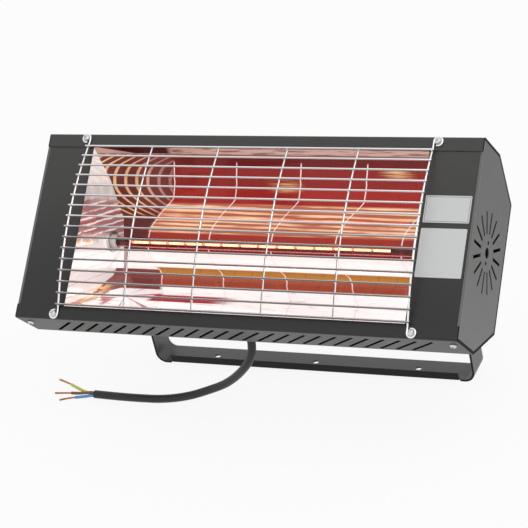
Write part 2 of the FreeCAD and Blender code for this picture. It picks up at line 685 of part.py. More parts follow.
def lug_rivets():
    grip = SEAT_GAP + LUG_STEEL + STEEL + SEAT_GAP
    return [seat(rivet(grip), p + V(0, SEAT_GAP + LUG_STEEL, 0), V(0, 1, 0)) for p in lug_rivet_spots()]


def pivot_stack():
    """Bolt, washers, friction washer and nut of the right-hand pivot, in the part's own frame."""
    def at(x):
        return V(x, 0, PIVOT_HEIGHT)
    bore = BOLT + 2 * PIVOT_GAP
    head = LEG_INSIDE + BRACKET_STEEL + WASHER
    inside = LUG_OUTSIDE - LUG_STEEL - SEAT_GAP
    nut_face = inside - WASHER
    bolt = seat(hexagon(BOLT_ACROSS, BOLT_HEAD), at(head), V(1, 0, 0))
    bolt = bolt.fuse(rod(at(nut_face - BOLT_NUT - BOLT_TAIL), at(head), BOLT))
    washers = [ring(at(head - WASHER), at(head), WASHER_DIAMETER, bore),
               ring(at(inside - WASHER), at(inside), WASHER_DIAMETER, bore)]
    friction = ring(at(LUG_OUTSIDE + SEAT_GAP), at(LEG_INSIDE), FRICTION_DIAMETER, bore)
    lock = seat(nut(BOLT_ACROSS, BOLT_NUT, bore), at(nut_face - BOLT_NUT), V(1, 0, 0))
    return {"pivot_bolts": [bolt], "pivot_washers": washers, "friction_washers": [friction],
            "pivot_nuts": [lock]}


# Cord entry and wiring, in the frame on the slope

def cable_gland():
    flange = hexagon(GLAND_ACROSS, GLAND_FLANGE)
    flange.translate(V(0, 0, -GLAND_FLANGE - SEAT_GAP))
    nose = Part.makeCone(GLAND_NOSE_DIAMETER / 2, GLAND_THREAD / 2, GLAND_NOSE,
                         V(0, 0, -GLAND_FLANGE - SEAT_GAP - GLAND_NOSE))
    shank = rod(V(0, 0, -SEAT_GAP), V(0, 0, GLAND_SHANK), GLAND_THREAD)
    bore = rod(V(0, 0, -BODY_DEPTH), V(0, 0, BODY_DEPTH), CORD + 2 * SEAT_GAP)
    return flange.fuse([nose, shank]).removeSplitter().cut(bore)


def gland_nut():
    lock = nut(GLAND_NUT_ACROSS, GLAND_NUT, GLAND_THREAD + 2 * SEAT_GAP)
    lock.translate(V(0, 0, STEEL + SEAT_GAP))
    return lock


def nose_tip():
    return V(0, 0, -SEAT_GAP - GLAND_FLANGE - GLAND_NOSE)


def cord_tail():
    return rod(nose_tip(), V(0, 0, GLAND_SHANK + TAIL_INSIDE), CORD)


def inner_cores():
    start, rise = GLAND_SHANK + TAIL_INSIDE, WIRE_RISE
    return [tube(path([V(0, y, start), V(0, y, rise), V(BLOCK_OFFSET - SEAT_GAP, y, rise)],
                      [min(CORE_BEND, 0.9 * (rise - start))]), CORE) for y in (-CORE, 0, CORE)]


def terminal_block():
    low = STEEL + SEAT_GAP
    block = box((BLOCK_OFFSET, BLOCK_OFFSET + BLOCK_LENGTH), (-BLOCK_DEPTH / 2, BLOCK_DEPTH / 2),
                (low, low + BLOCK_HEIGHT))
    ways = 3
    pitch = BLOCK_LENGTH / ways
    wells = [rod(V(BLOCK_OFFSET + (k + 0.5) * pitch, 0, low + BLOCK_HEIGHT / 2),
                 V(BLOCK_OFFSET + (k + 0.5) * pitch, 0, low + BLOCK_HEIGHT), pitch / 2) for k in range(ways)]
    return block.cut(wells)


def earth_stud():
    foot = STEEL + SEAT_GAP
    x = BLOCK_OFFSET + BLOCK_LENGTH + STUD_OFFSET
    stud = rod(V(x, 0, foot), V(x, 0, foot + STUD_HEIGHT), STUD)
    return stud.fuse(rod(V(x, 0, foot), V(x, 0, foot + TAG), TAG_DIAMETER))


def earth_lead():
    end = BLOCK_OFFSET + BLOCK_LENGTH
    x = end + STUD_OFFSET
    low = STEEL + SEAT_GAP + TAG + SEAT_GAP
    rise = low + LEAD / 2
    eye = ring(V(x, 0, low), V(x, 0, low + TAG), TAG_DIAMETER, STUD + 2 * SEAT_GAP)
    lead = rod(V(end + SEAT_GAP, 0, rise), V(x - STUD / 2 - TAG, 0, rise), LEAD)
    return eye.fuse(lead)


def lamp_lead(side):
    """From the terminal block along the housing and up to the lamp holder on one side."""
    start = BLOCK_OFFSET if side < 0 else BLOCK_OFFSET + BLOCK_LENGTH
    across = -side * LEAD_SPREAD
    block = [SLOPE.multVec(V(start + side * SEAT_GAP, across, WIRE_RISE)),
             SLOPE.multVec(V(start + side * BLOCK_LENGTH, across, WIRE_RISE))]
    drop = LAMP_RISE - HOLDER_HEIGHT / 2 - SEAT_GAP
    x = side * (HOLDER_START + HOLDER_LENGTH / 2)
    rise = block[0].z
    points = block + [V(x, block[0].y, rise), V(x, LAMP_DEPTH, rise + LEAD_BEND * 2), V(x, LAMP_DEPTH, drop)]
    points[1] = points[1] + V(0, 0, LEAD)
    return tube(path(points, [LEAD_BEND] * (len(points) - 2)), LEAD)


# Free cord

def cord_radii(points):
    radii = []
    for before, corner, after in zip(points, points[1:], points[2:]):
        shorter = min((corner - before).Length, (after - corner).Length)
        radii.append(0.45 * shorter / math.tan(turn_at(before, corner, after) / 2))
    return radii


def free_cord(name, points, diameter):
    radii = cord_radii(points)
    wire = path(points, radii)
    shape = tube(wire, diameter)
    section = math.pi * diameter ** 2 / 4
    print(name, "radii", [round(r) for r in radii], "length %.1f" % wire.Length,
          "volume over section x length %.4f" % (shape.Volume / (section * wire.Length)))
    return shape


def vectors(points):
    return [V(*p) for p in points]


def straight_on(before, end, start):
    """A core's or strand's first two points, straight on from the piece that it leaves."""
    heading = towards(before, end)
    return [start + heading * SEAT_GAP, start + heading * (SEAT_GAP + CORE_LEAVE)]


def core_points(name):
    before, end = vectors(CORD_ROUTE[-2:])
    side, up = CORE_STARTS[name]
    across = towards(V(), towards(before, end).cross(V(0, 0, 1)))
    return straight_on(before, end, end + across * side + V(0, 0, up)) + vectors(CORE_ROUTES[name])


def strand_points(name):
    before, end = core_points(name)[-2:]
    return straight_on(before, end, end) + vectors([STRAND_ENDS[name]])


# Writing out

os.makedirs("parts", exist_ok=True)


def save(name, shapes, place=None):
    """One STEP file for a node, made of one or more separate solids."""
    solids = [within(place, s) if place else s for s in shapes]
    for solid in solids:
        if not solid.isValid() or len(solid.Solids) != 1:
            raise ValueError("%s is not one valid solid" % name)
    whole = solids[0] if len(solids) == 1 else Part.makeCompound(solids)
    whole.exportStep("parts/%s.step" % name)


def save_pair(name, shape):
    """Right-hand piece of the heater and its mirror image."""
    save("right_" + name, [shape], LEAN)
    save("left_" + name, [mirrored(shape)], LEAN)


save("housing_shell", [housing_shell()], LEAN)
save_pair("end_plate", end_plate())
save_pair("front_panel", front_panel())
save("end_plate_screws", [seat(screw(SCREW_LENGTH), p, n) for p, n in end_screw_spots()], LEAN)

save("reflector_trough", [reflector_trough()], LEAN)
save_pair("reflector_cheek", reflector_cheek())
save("left_reflector_bracket", [reflector_bracket(-HAT_OFFSET)], LEAN)
save("right_reflector_bracket", [reflector_bracket(HAT_OFFSET)], LEAN)
save("reflector_bracket_screws", [seat(screw(SCREW_LENGTH), p, n) for p, n in hat_screw_spots()], LEAN)

save("lamp_tube", [lamp_tube()], LEAN)
save("lamp_filament", [lamp_filament()], LEAN)
save("lamp_supports", lamp_supports(), LEAN)
save_pair("lamp_cap", lamp_cap())
save_pair("lamp_holder", lamp_holder())
save_pair("holder_bracket", holder_bracket())
save("holder_screws", [holder_screw(), mirrored(holder_screw())], LEAN)
save("holder_bracket_screws", [seat(screw(SCREW_LENGTH), p, n) for p, n in foot_screw_spots()], LEAN)

save("guard_cross_wires", cross_wires(), LEAN)
save("guard_uprights", upright_wires(), LEAN)
save_pair("guard_side_wire", side_wire())
save("guard_screws", guard_screws(), LEAN)
save("guard_nuts", guard_nuts(), LEAN)

save_pair("pivot_lug", pivot_lug())
save("lug_rivets", lug_rivets(), LEAN)
save("mounting_bracket", [mounting_bracket()])
for node, pieces in pivot_stack().items():
    save(node, pieces + [mirrored(piece) for piece in pieces])

ON_SLOPE = LEAN.multiply(SLOPE)
save("cable_gland", [cable_gland()], ON_SLOPE)
save("gland_nut", [gland_nut()], ON_SLOPE)
save("cord_tail", [cord_tail()], ON_SLOPE)
save("inner_cores", inner_cores(), ON_SLOPE)
save("terminal_block", [terminal_block()], ON_SLOPE)
save("earth_stud", [earth_stud()], ON_SLOPE)
save("earth_lead", [earth_lead()], ON_SLOPE)
save("right_lamp_lead", [lamp_lead(1)], LEAN)
save("left_lamp_lead", [lamp_lead(-1)], LEAN)

leaving = [ON_SLOPE.multVec(nose_tip() - V(0, 0, run)) for run in (0, CORD_LEAVE)]
save("supply_cord", [free_cord("supply_cord", leaving + vectors(CORD_ROUTE), CORD)])
for core in CORE_ROUTES:
    save(core, [free_cord(core, core_points(core), CORE)])
save("core_strands", [free_cord("strand of " + core, strand_points(core), STRAND) for core in CORE_ROUTES])
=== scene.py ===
import functools
import json
import math

import bmesh
import bpy
from mathutils import Matrix, Vector
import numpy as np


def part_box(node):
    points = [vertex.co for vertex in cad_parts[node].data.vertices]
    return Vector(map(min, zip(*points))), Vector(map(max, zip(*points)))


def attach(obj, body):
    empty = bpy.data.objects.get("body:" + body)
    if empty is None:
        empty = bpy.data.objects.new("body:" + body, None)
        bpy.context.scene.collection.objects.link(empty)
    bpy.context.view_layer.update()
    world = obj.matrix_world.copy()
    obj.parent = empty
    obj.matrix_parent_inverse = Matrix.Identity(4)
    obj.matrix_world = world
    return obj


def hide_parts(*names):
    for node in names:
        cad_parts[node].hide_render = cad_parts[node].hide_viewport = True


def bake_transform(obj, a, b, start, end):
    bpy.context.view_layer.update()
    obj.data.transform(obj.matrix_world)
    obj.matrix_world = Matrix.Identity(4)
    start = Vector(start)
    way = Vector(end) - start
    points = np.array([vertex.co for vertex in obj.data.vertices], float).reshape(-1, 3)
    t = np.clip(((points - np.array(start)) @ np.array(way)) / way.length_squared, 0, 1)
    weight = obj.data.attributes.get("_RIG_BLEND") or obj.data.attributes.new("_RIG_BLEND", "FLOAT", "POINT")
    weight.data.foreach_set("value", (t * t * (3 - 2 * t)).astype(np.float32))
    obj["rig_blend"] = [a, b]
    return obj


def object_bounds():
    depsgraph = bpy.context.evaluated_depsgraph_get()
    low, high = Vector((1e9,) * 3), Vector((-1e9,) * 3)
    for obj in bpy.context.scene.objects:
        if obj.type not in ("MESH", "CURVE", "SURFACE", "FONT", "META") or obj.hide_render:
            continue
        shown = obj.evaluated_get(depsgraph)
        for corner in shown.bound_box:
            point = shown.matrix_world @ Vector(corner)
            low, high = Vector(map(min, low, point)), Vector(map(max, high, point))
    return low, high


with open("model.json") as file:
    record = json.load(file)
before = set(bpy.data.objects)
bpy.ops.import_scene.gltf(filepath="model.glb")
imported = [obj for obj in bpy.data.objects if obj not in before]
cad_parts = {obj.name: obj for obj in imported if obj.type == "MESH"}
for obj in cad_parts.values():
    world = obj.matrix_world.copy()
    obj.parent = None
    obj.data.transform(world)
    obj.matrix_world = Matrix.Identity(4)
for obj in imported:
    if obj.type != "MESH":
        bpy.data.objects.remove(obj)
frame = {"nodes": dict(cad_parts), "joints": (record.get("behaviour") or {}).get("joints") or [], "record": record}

bl_info = {
    "name": "Infrared heater",
    "version": (1, 0, 0),
    "blender": (4, 5, 0),
    "location": "View3D > Sidebar > Heater",
    "description": "Gives the heater its finishes, guard, lamp, fasteners and cord",
    "category": "Object",
}

CAD_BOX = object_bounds()
SLOT_OF = {part["node"]: part["material_slot"] for part in frame["record"]["subparts"]}
FULL_TURN = 2 * math.pi
UP = Vector((0.0, 0.0, 1.0))
BLACK = (0.0, 0.0, 0.0)
WHITE = (1.0, 1.0, 1.0)
MERGE_WITHIN = 1e-6

# The heater's own upright frame: origin at the centre of the front face, X right, Y to the rear, Z up
LEAN_BACK = math.radians(49.0)
PIVOT = Vector(frame["joints"][0]["pos_m"])
PIVOT_IN_HEATER = Vector((0.0, 0.115, 0.016))
UPRIGHT = (Matrix.Translation(PIVOT_IN_HEATER) @ Matrix.Rotation(LEAN_BACK, 4, "X")
           @ Matrix.Translation(-PIVOT))
LEANED = UPRIGHT.inverted()
UPRIGHT_TURN = UPRIGHT.to_3x3()
HEATER_MIDDLE = Vector((0.0, 0.048, 0.0))

# Enamel: half the height over which its painted light grows from bottom to top, the cut edge of the
# shell, where painted shade lies, the width of the painted shadow along an end plate's rear sides and its
# front edge, which takes a painted highlight, the least area of one of its flat sides in square metres, and
# the bracket's front edge, where painted shade lies
ENAMEL_PAINTED_LIGHT_FADE = 0.09
CUT_EDGE = CAD_BOX[1].x - 0.0009
SHADE_RIM_WIDTH = 0.0018
FRONT_EDGE = 0.0025
FLAT_SIDE = 0.0002
BRACKET_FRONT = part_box("mounting_bracket")[0].y

# Guard: how far a cross wire passes the side wires, in diameters, and a weld as a flattened ball
CROSS_WIRES, UPRIGHTS = 16, 4
WIRE_OVERHANG = 1.2
WELD_SHAPE = (0.8, 0.35, 0.8, 1.0)

# Lamp: its coils and the points in a turn, the supports between them, and the ring round each cap
COIL_COUNT, COIL_STEPS = 14, 8
SUPPORT_THICKNESS, COIL_GAP = 0.0005, 0.0004
EYELET_RADIUS, EYELET_BEAD = 0.0092, 0.0019
EYELET_STEPS, BEAD_SIDES = 40, 12

# Plates: their spans in X and Z on the right front panel, and the line inside the edge of one of them
PLATE_PLACES = {"upper": ((0.179, 0.223), (0.0133, 0.039)), "lower": ((0.1786, 0.2225), (-0.038, 0.008))}
LINED_PLATE = "upper"
LINE_INSET, LINE_WIDTH = 0.0016, 0.00045

# Screws: the cross in a head
RECESS_ARM, RECESS_SPAN, RECESS_DEPTH = 0.0009, 0.0038, 0.0012

# Bared ends: the strands round the middle one, the turns they make and how far they open
STRANDS_ROUND, STRAND_TWIST, STRAND_SPREAD = 6, 0.9, 0.25

# Sides of the round bars, the rounding of a wire's ends in diameters, and the angles from which an edge
# is sharp
CORD_SIDES, CORE_SIDES, STRAND_SIDES = 28, 18, 8
GUARD_SIDES, LEAD_SIDES, COIL_SIDES = 16, 10, 5
WIRE_ROUNDING = 0.18
SHARP_ANGLE, FOLD_ANGLE = math.radians(35), math.radians(10)

# Routes of the cord, its cores and their bared ends, in metres
CORD_ROUTE = [(-0.015, -0.0900, 0.0933), (-0.0142, -0.0925, 0.0847), (-0.0162, -0.0940, 0.0752),
              (-0.0215, -0.0940, 0.0652), (-0.0295, -0.0922, 0.0555), (-0.0392, -0.0897, 0.0458),
              (-0.0502, -0.0867, 0.0362), (-0.0632, -0.084, 0.0272), (-0.0795, -0.082, 0.0193),
              (-0.105, -0.083, 0.0098), (-0.135, -0.0845, 0.0046), (-0.164, -0.0853, 0.0043),
              (-0.193, -0.085, 0.0043), (-0.2162, -0.084, 0.0043)]
# The points between which the cord gives way when the heater tilts
CORD_LANDED, CORD_HELD = CORD_ROUTE[9], CORD_ROUTE[1]
CORE_ROUTES = {
    "core_earth": [(-0.2161, -0.0822, 0.0034), (-0.2213, -0.082, 0.0034), (-0.229, -0.0794, 0.0022),
                   (-0.242, -0.0733, 0.0016), (-0.254, -0.0671, 0.0015)],
    "core_live": [(-0.2162, -0.084, 0.0061), (-0.2213, -0.0838, 0.0061), (-0.227, -0.0836, 0.005),
                  (-0.237, -0.0826, 0.0026), (-0.2464, -0.0818, 0.0018)],
    "core_neutral": [(-0.2163, -0.0858, 0.0034), (-0.2214, -0.0856, 0.0034), (-0.227, -0.0864, 0.0021),
                     (-0.239, -0.0884, 0.0015)],
}
STRAND_ROUTES = [
    [(-0.254, -0.0671, 0.0015), (-0.2585, -0.0648, 0.0015), (-0.2728, -0.0595, 0.0014)],
    [(-0.2464, -0.0818, 0.0018), (-0.2514, -0.0814, 0.0014), (-0.2659, -0.0833, 0.0012)],
    [(-0.239, -0.0884, 0.0015), (-0.244, -0.0892, 0.0013), (-0.2545, -0.0946, 0.0014)],
]

# The reflector: half the height of its mouth, a depth inside it, and zones of painted lamp light by their height
MOUTH_RISE = 0.0815
MOUTH_DEPTH = 0.02
ROOF_START = 0.0772
RED_ZONE = (0.0435, 0.076)
TAN_ZONE = (0.0180, 0.0428)
WHITE_ZONE = (-0.0178, -0.0008)
AMBER_ZONE = (-0.040, -0.0185)
FLOOR_START = -0.0406
# Bands of painted lamp light and reflections on the trough and in its left corner, each as its lower edge and its
# colour
MIDDLE_BANDS = [(-0.0815, (0.92, 0.93, 0.93)), (-0.0405, (0.31, 0.07, 0.036)),
                (-0.0262, (0.38, 0.165, 0.033)), (-0.0182, (0.94, 0.95, 0.95)),
                (0.0, (0.17, 0.012, 0.015)), (0.0085, (0.25, 0.03, 0.022)),
                (0.0176, (0.36, 0.115, 0.068)), (0.0432, (0.26, 0.021, 0.017)),
                (0.0560, (0.20, 0.019, 0.017)), (0.0690, (0.115, 0.0135, 0.0125)),
                (0.0775, (0.44, 0.29, 0.25))]
LEFT_BANDS = [(-0.0815, (0.86, 0.80, 0.79)), (-0.0475, (0.17, 0.045, 0.04)),
              (-0.0210, (0.93, 0.91, 0.90)), (0.0, (0.10, 0.028, 0.027)),
              (0.0300, (0.12, 0.028, 0.023)), (0.0775, (0.40, 0.24, 0.21))]
BAND_SOFT = 0.0006
# The painted reflection of the lamp's coil in the bent sheet: arcs round a height, that lean more above the kink
ARC_BEND, ARC_BULGE, ARC_KINK, ARC_LEAN = 0.056, 70.0, 0.070, 1.4
ARC_FIRST, ARC_PITCH, ARC_WIDTH = -0.1674, 0.0125, 0.0034
# Where the painted light of the left corner takes over, in X, and the middles of its spokes and curl, in X and Z
CORNER_EDGE = (-0.096, -0.101)
SPOKES_MIDDLE = (-0.133, -0.058)
CURL_MIDDLE = (-0.156, -0.062)
# Painted gold glints of lamp light on the trough: both ends and the softness of each, in X and in Z
GOLD_GLINTS = [((0.012, 0.028, 0.016), (0.0530, 0.0610, 0.0016)),
              ((0.128, 0.148, 0.012), (0.0640, 0.0690, 0.0012))]
# Painted reflections of the guard's uprights, as lines across the trough: their pitch, width and first place,
# where they begin in X and end in Z, and their sideways shift by height
BAR_PITCH, BAR_WIDTH, BAR_FIRST = 0.0677, 0.0012, -0.0297
BAR_START, BAR_TOP = (-0.11, -0.105), (0.0735, 0.0715)
SHIFT_LOW, SHIFT_SPAN = -0.045, 0.070
BAR_SHIFT = [(-0.0815, 0.022), (-0.0696, 0.0125), (-0.0595, 0.009), (-0.0516, 0.003), (-0.039, -0.009),
             (-0.0295, -0.0145), (-0.0225, -0.018), (-0.0177, -0.025), (-0.008, -0.0354), (-0.002, -0.0395),
             (0.004, -0.041), (0.0136, -0.0407), (0.0245, -0.0376), (0.0335, -0.028), (0.0405, -0.016),
             (0.0465, -0.007), (0.0624, 0.0), (0.071, 0.0047), (0.0815, 0.0105)]


# Settings

def colour(name, description, value):
    return bpy.props.FloatVectorProperty(name=name, description=description, subtype="COLOR", size=3,
                                         min=0.0, max=1.0, default=value)


def length(name, description, value):
    return bpy.props.FloatProperty(name=name, description=description, default=value, unit="LENGTH",
                                   precision=4)


def position(name, description, value):
    return bpy.props.FloatVectorProperty(name=name, description=description, subtype="TRANSLATION", size=3,
                                         default=value)


class HeaterSizes(bpy.types.PropertyGroup):
    """Sizes of the pieces that are modelled here."""

    cord: length("Cord", "Diameter of the supply cord", 0.0084)
    core: length("Core", "Diameter of an insulated core", 0.0031)
    strand_bundle: length("Strand bundle", "Diameter of a core's bared end", 0.0018)
    guard_wire: length("Guard wire", "Diameter of the guard's wires", 0.002)
    coil: length("Coil", "Outer diameter of the lamp's coils", 0.0026)
    coil_wire: length("Coil wire", "Diameter of the coiled wire", 0.0007)
    coil_pitch: length("Coil pitch", "Distance between two turns of a coil", 0.00095)
    lead: length("Lead", "Diameter of the straight wire between the coils", 0.001)
    plate: length("Plate", "Thickness of the bare rating plates", 0.0004)
    plate_corner: length("Plate corner", "Corner radius of the bare rating plates", 0.001)


class HeaterColours(bpy.types.PropertyGroup):
    """Colours of the finishes."""

    enamel: colour("Enamel", "Satin black of the housing and bracket", (0.0185, 0.0178, 0.0170))
    # Painted light: pale enamel laid on where edges and faces catch the light
    enamel_painted_light: colour("Pale enamel", "Enamel where it catches the light", (0.125, 0.123, 0.12))
    mirror: colour("Mirror", "Bright reflector sheet", (0.93, 0.925, 0.92))
    # Painted lamp light and painted reflections on the reflector, which also glow as emission
    glow: colour("Glow", "Reflector where it shows the red lamp", (0.28, 0.035, 0.035))
    glow_dark: colour("Dark glow", "Reflector where the red is deepest", (0.085, 0.008, 0.009))
    glow_gold: colour("Gold glow", "Streaks of lamp light on the reflector", (0.64, 0.41, 0.2))
    glow_rose: colour("Rose glow", "Faint lamp light on the reflector", (0.40, 0.19, 0.20))
    glow_cream: colour("Cream glow", "Brightest streaks of lamp light on the reflector", (0.80, 0.57, 0.36))
    chrome: colour("Chrome", "Bright guard wire", (0.86, 0.86, 0.87))
    # Painted shade on the guard wires
    chrome_shade: colour("Shaded chrome", "Guard wire on its shaded side", (0.40, 0.37, 0.37))
    chrome_dark: colour("Dark chrome", "Guard wire on its shaded side below the lamp", (0.11, 0.10, 0.10))
    zinc: colour("Zinc", "Plated screws, nuts and brackets", (0.74, 0.745, 0.75))
    ruby: colour("Ruby", "Red quartz of the lamp", (0.52, 0.13, 0.115))
    hot_coil: colour("Hot coil", "Lit filament", (1.0, 0.84, 0.50))
    support: colour("Support", "Wire that holds the filament", (0.42, 0.4, 0.38))
    ceramic: colour("Ceramic", "Lamp caps, lamp holders and terminal block", (0.78, 0.75, 0.69))
    fibre: colour("Fibre", "Friction washers of the pivots", (0.16, 0.09, 0.06))
    rubber: colour("Rubber", "Sheath of the cord", (0.0105, 0.0105, 0.011))
    plastic: colour("Plastic", "Cable gland and its nut", (0.02, 0.02, 0.021))
    earth_green: colour("Earth green", "Earth core", (0.20, 0.46, 0.05))
    earth_yellow: colour("Earth yellow", "Stripe of the earth core", (0.74, 0.76, 0.08))
    live_brown: colour("Live brown", "Live core", (0.21, 0.10, 0.05))
    neutral_blue: colour("Neutral blue", "Neutral core", (0.15, 0.39, 0.74))
    copper: colour("Copper", "Bared strands", (0.55, 0.21, 0.085))
    sleeving: colour("Sleeving", "Heat-proof sleeves of the inner wiring", (0.72, 0.7, 0.63))
    brass: colour("Brass", "Earth stud", (0.72, 0.5, 0.2))
    plate: colour("Plate", "Bare rating plates", (0.60, 0.61, 0.61))


class HeaterStage(bpy.types.PropertyGroup):
    """Camera, light and floor."""

    camera_spot: position("Camera spot", "Where the camera stands", (0.7956, -1.4747, 1.0699))
    camera_turn: bpy.props.FloatVectorProperty(
        name="Camera turn", description="How the camera is turned", subtype="EULER", size=3,
        default=(math.radians(59.991), math.radians(11.442), math.radians(22.79)))
    focal_length: bpy.props.FloatProperty(
        name="Focal length", description="Lens, in millimetres on a 36 mm sensor", default=132.3,
        unit="CAMERA")
    dome: bpy.props.FloatProperty(
        name="Dome", description="Strength of the white surroundings", default=0.72)
    key_power: bpy.props.FloatProperty(
        name="Key power", description="Power of the soft light above", default=9.0, unit="POWER")
    key_spot: position("Key spot", "Where the soft light hangs", (0.9, -0.7, 1.9))
    key_aim: position("Key aim", "What the soft light is turned to", (0.0, 0.0, 0.1))
    key_width: length("Key width", "Width of the soft light", 1.6)
    key_depth: length("Key depth", "Depth of the soft light", 1.2)
    floor: colour("Floor", "Pale floor", (0.93, 0.93, 0.93))
    floor_size: length("Floor size", "Side of the square floor", 8.0)
    floor_white: bpy.props.FloatProperty(
        name="Floor white", description="Share of plain white in the floor as it is seen", default=0.9,
        subtype="FACTOR", min=0.0, max=1.0)


# Shader maths

class Value:
    """A socket that takes part in sums, so that a pattern reads as a formula."""

    line_soft = 0.6

    def __init__(self, nodes, socket):
        self.nodes = nodes
        self.socket = socket

    def worked(self, operation, *terms):
        return self.nodes.node("ShaderNodeMath", {"operation": operation}, dict(enumerate(terms)))

    def __add__(self, other):
        return self.worked("ADD", self, other)

    def __radd__(self, other):
        return self.worked("ADD", other, self)

    def __sub__(self, other):
        return self.worked("SUBTRACT", self, other)

    def __rsub__(self, other):
        return self.worked("SUBTRACT", other, self)

    def __mul__(self, other):
        return self.worked("MULTIPLY", self, other)

    def __rmul__(self, other):
        return self.worked("MULTIPLY", other, self)

    def __truediv__(self, other):
        return self.worked("DIVIDE", self, other)

    def larger(self, other):
        return self.worked("MAXIMUM", self, other)

    def angle(self, other):
        return self.worked("ARCTAN2", self, other)

    def sine(self):
        return self.worked("SINE", self)

    def size(self):
        return self.worked("ABSOLUTE", self)

    def lines(self, pitch, width, first=0.0):
        """1 on thin lines, one at the value first and one more at each pitch."""
        wave = (FULL_TURN * (self - first) / pitch + math.pi / 2).sine()
        edge = math.cos(math.pi * width / pitch)
        soft = (1 - edge) * self.line_soft
        return wave.rise(edge - soft, edge + soft)

    def rise(self, start, end):
        """0 before start, 1 after end, and smooth between them; a start above end falls instead."""
        return self.nodes.node("ShaderNodeMapRange", {"interpolation_type": "SMOOTHSTEP"},
                               {"Value": self, "From Min": start, "From Max": end})

    def band(self, start, end, soft):
        """1 between start and end, with soft edges."""
        return self.rise(start - soft, start + soft) * self.rise(end + soft, end - soft)


def paint(rgb):
    return (*rgb, 1.0)


def socket_name(key):
    """A shader socket's name from its name with underscores."""
    return key.replace("_", " ").title().replace("Ior", "IOR")


class Nodes:
    """A node tree whose nodes come from one method."""

    def __init__(self, tree):
        self.tree = tree

    def node(self, kind, settings, inputs, output=0):
        """Adds a node with its settings, then its sockets' values or links, and gives one of its outputs."""
        made = self.tree.nodes.new(kind)
        for key, setting in settings.items():
            if key == "stops":
                self.set_stops(made.color_ramp, setting)
            elif key == "course":
                made.color_ramp.interpolation = setting
            else:
                setattr(made, key, setting)
        for key, value in inputs.items():
            self.put(made.inputs[key], value)
        return Value(self, made.outputs[output])

    def put(self, socket, value):
        if isinstance(value, Value):
            self.tree.links.new(value.socket, socket)
        else:
            socket.default_value = value

    @staticmethod
    def set_stops(ramp, stops):
        while len(ramp.elements) < len(stops):
            ramp.elements.new(1.0)
        for element, (share, rgb) in zip(ramp.elements, stops):
            element.position = share
            element.color = paint(rgb)

    def seen(self):
        """1 for a ray that is seen straight, in a mirror or through glass, and 0 for a lighting ray."""
        path = self.node("ShaderNodeLightPath", {}, {}).socket.node
        rays = [Value(self, path.outputs["Is %s Ray" % kind])
                for kind in ("Camera", "Glossy", "Transmission")]
        return functools.reduce(Value.larger, rays)


class Finish(Nodes):
    """One material, as a Principled shader and the formulas that feed it."""

    def __init__(self, name, **constants):
        self.material = bpy.data.materials.new("heater_" + name)
        self.material.use_nodes = True
        super().__init__(self.material.node_tree)
        self.shader = self.tree.nodes["Principled BSDF"]
        self.feed(**constants)

    def feed(self, **inputs):
        """Sets or links the shader's sockets, named with underscores for spaces."""
        for key, value in inputs.items():
            self.put(self.shader.inputs[socket_name(key)], value)

    def covered(self, share, kind="ShaderNodeBsdfPrincipled", **constants):
        """Covers a share of the surface with a second, plain shader."""
        plain = self.node(kind, {}, {socket_name(key): value for key, value in constants.items()})
        own = Value(self, self.shader.outputs[0])
        mix = self.node("ShaderNodeMixShader", {}, {0: share, 1: own, 2: plain})
        self.put(self.tree.nodes["Material Output"].inputs["Surface"], mix)

    def place(self):
        return self.node("ShaderNodeTexCoord", {}, {}, "Object")

    def heater_place(self):
        """Place in the heater's own upright frame."""
        return self.node("ShaderNodeMapping", {"vector_type": "POINT"},
                         {"Vector": self.place(), "Location": UPRIGHT.to_translation(),
                          "Rotation": UPRIGHT.to_euler()})

    def stretched(self, place, scale, turn=(0.0, 0.0, 0.0)):
        return self.node("ShaderNodeMapping", {"vector_type": "POINT"},
                         {"Vector": place, "Scale": scale, "Rotation": turn})

    def split(self, place):
        parts = self.node("ShaderNodeSeparateXYZ", {}, {"Vector": place})
        return [Value(self, socket) for socket in parts.socket.node.outputs]

    def noise(self, place, scale, detail=2.0):
        return self.node("ShaderNodeTexNoise", {}, {"Vector": place, "Scale": scale, "Detail": detail})

    def attribute(self, name):
        return self.node("ShaderNodeAttribute", {"attribute_name": name}, {}, "Fac")

    def mixed(self, share, first, second):
        return self.node("ShaderNodeMix", {"data_type": "RGBA"}, {0: share, 6: first, 7: second}, 2)

    def ramp(self, value, stops, course="LINEAR"):
        return self.node("ShaderNodeValToRGB", {"stops": stops, "course": course}, {"Fac": value})

    def raised(self, height, strength, distance):
        return self.node("ShaderNodeBump", {}, {"Height": height, "Strength": strength, "Distance": distance})


# Enamel

def enamel_finish(colours, name="black_enamel", marks=None):
    """Satin stove enamel: fine orange peel, faint cloudiness and a little dust, with painted light that makes it
    lighter towards the top.

    The marks are a function that gives the shares of painted shade and of painted light on a piece.
    """
    finish = Finish(name, specular_ior_level=0.5)
    place = finish.place()
    peel = finish.noise(place, 900.0)
    cloud = finish.noise(place, 14.0, 4.0)
    dust = finish.noise(place, 2600.0, 1.0).rise(0.68, 0.8)
    specks = cloud * 0.8 + dust * 0.35
    base = Vector(colours.enamel)
    # Painted light: the enamel is darker at the bottom and lighter at the top, faded over its height
    low = finish.mixed(specks, paint(base * 0.2), paint(base * 0.7))
    high = finish.mixed(specks, paint(base * 1.7), paint(base * 2.6))
    z = finish.split(finish.heater_place())[2]
    shade = finish.mixed(z.rise(-ENAMEL_PAINTED_LIGHT_FADE, ENAMEL_PAINTED_LIGHT_FADE), low, high)
    if marks:
        # The marks give painted shade, laid on as a duller and darker enamel, and painted light, laid on as pale
        # enamel
        dark, pale = marks(finish)
        shade = finish.mixed(pale, shade, paint(colours.enamel_painted_light))
        finish.covered(dark, base_color=paint(base * 0.4), specular_ior_level=0.1, roughness=0.6)
    finish.feed(base_color=shade, roughness=0.33 + cloud * 0.12,
                normal=finish.raised(peel, 0.16, 0.0002))
    return finish.material


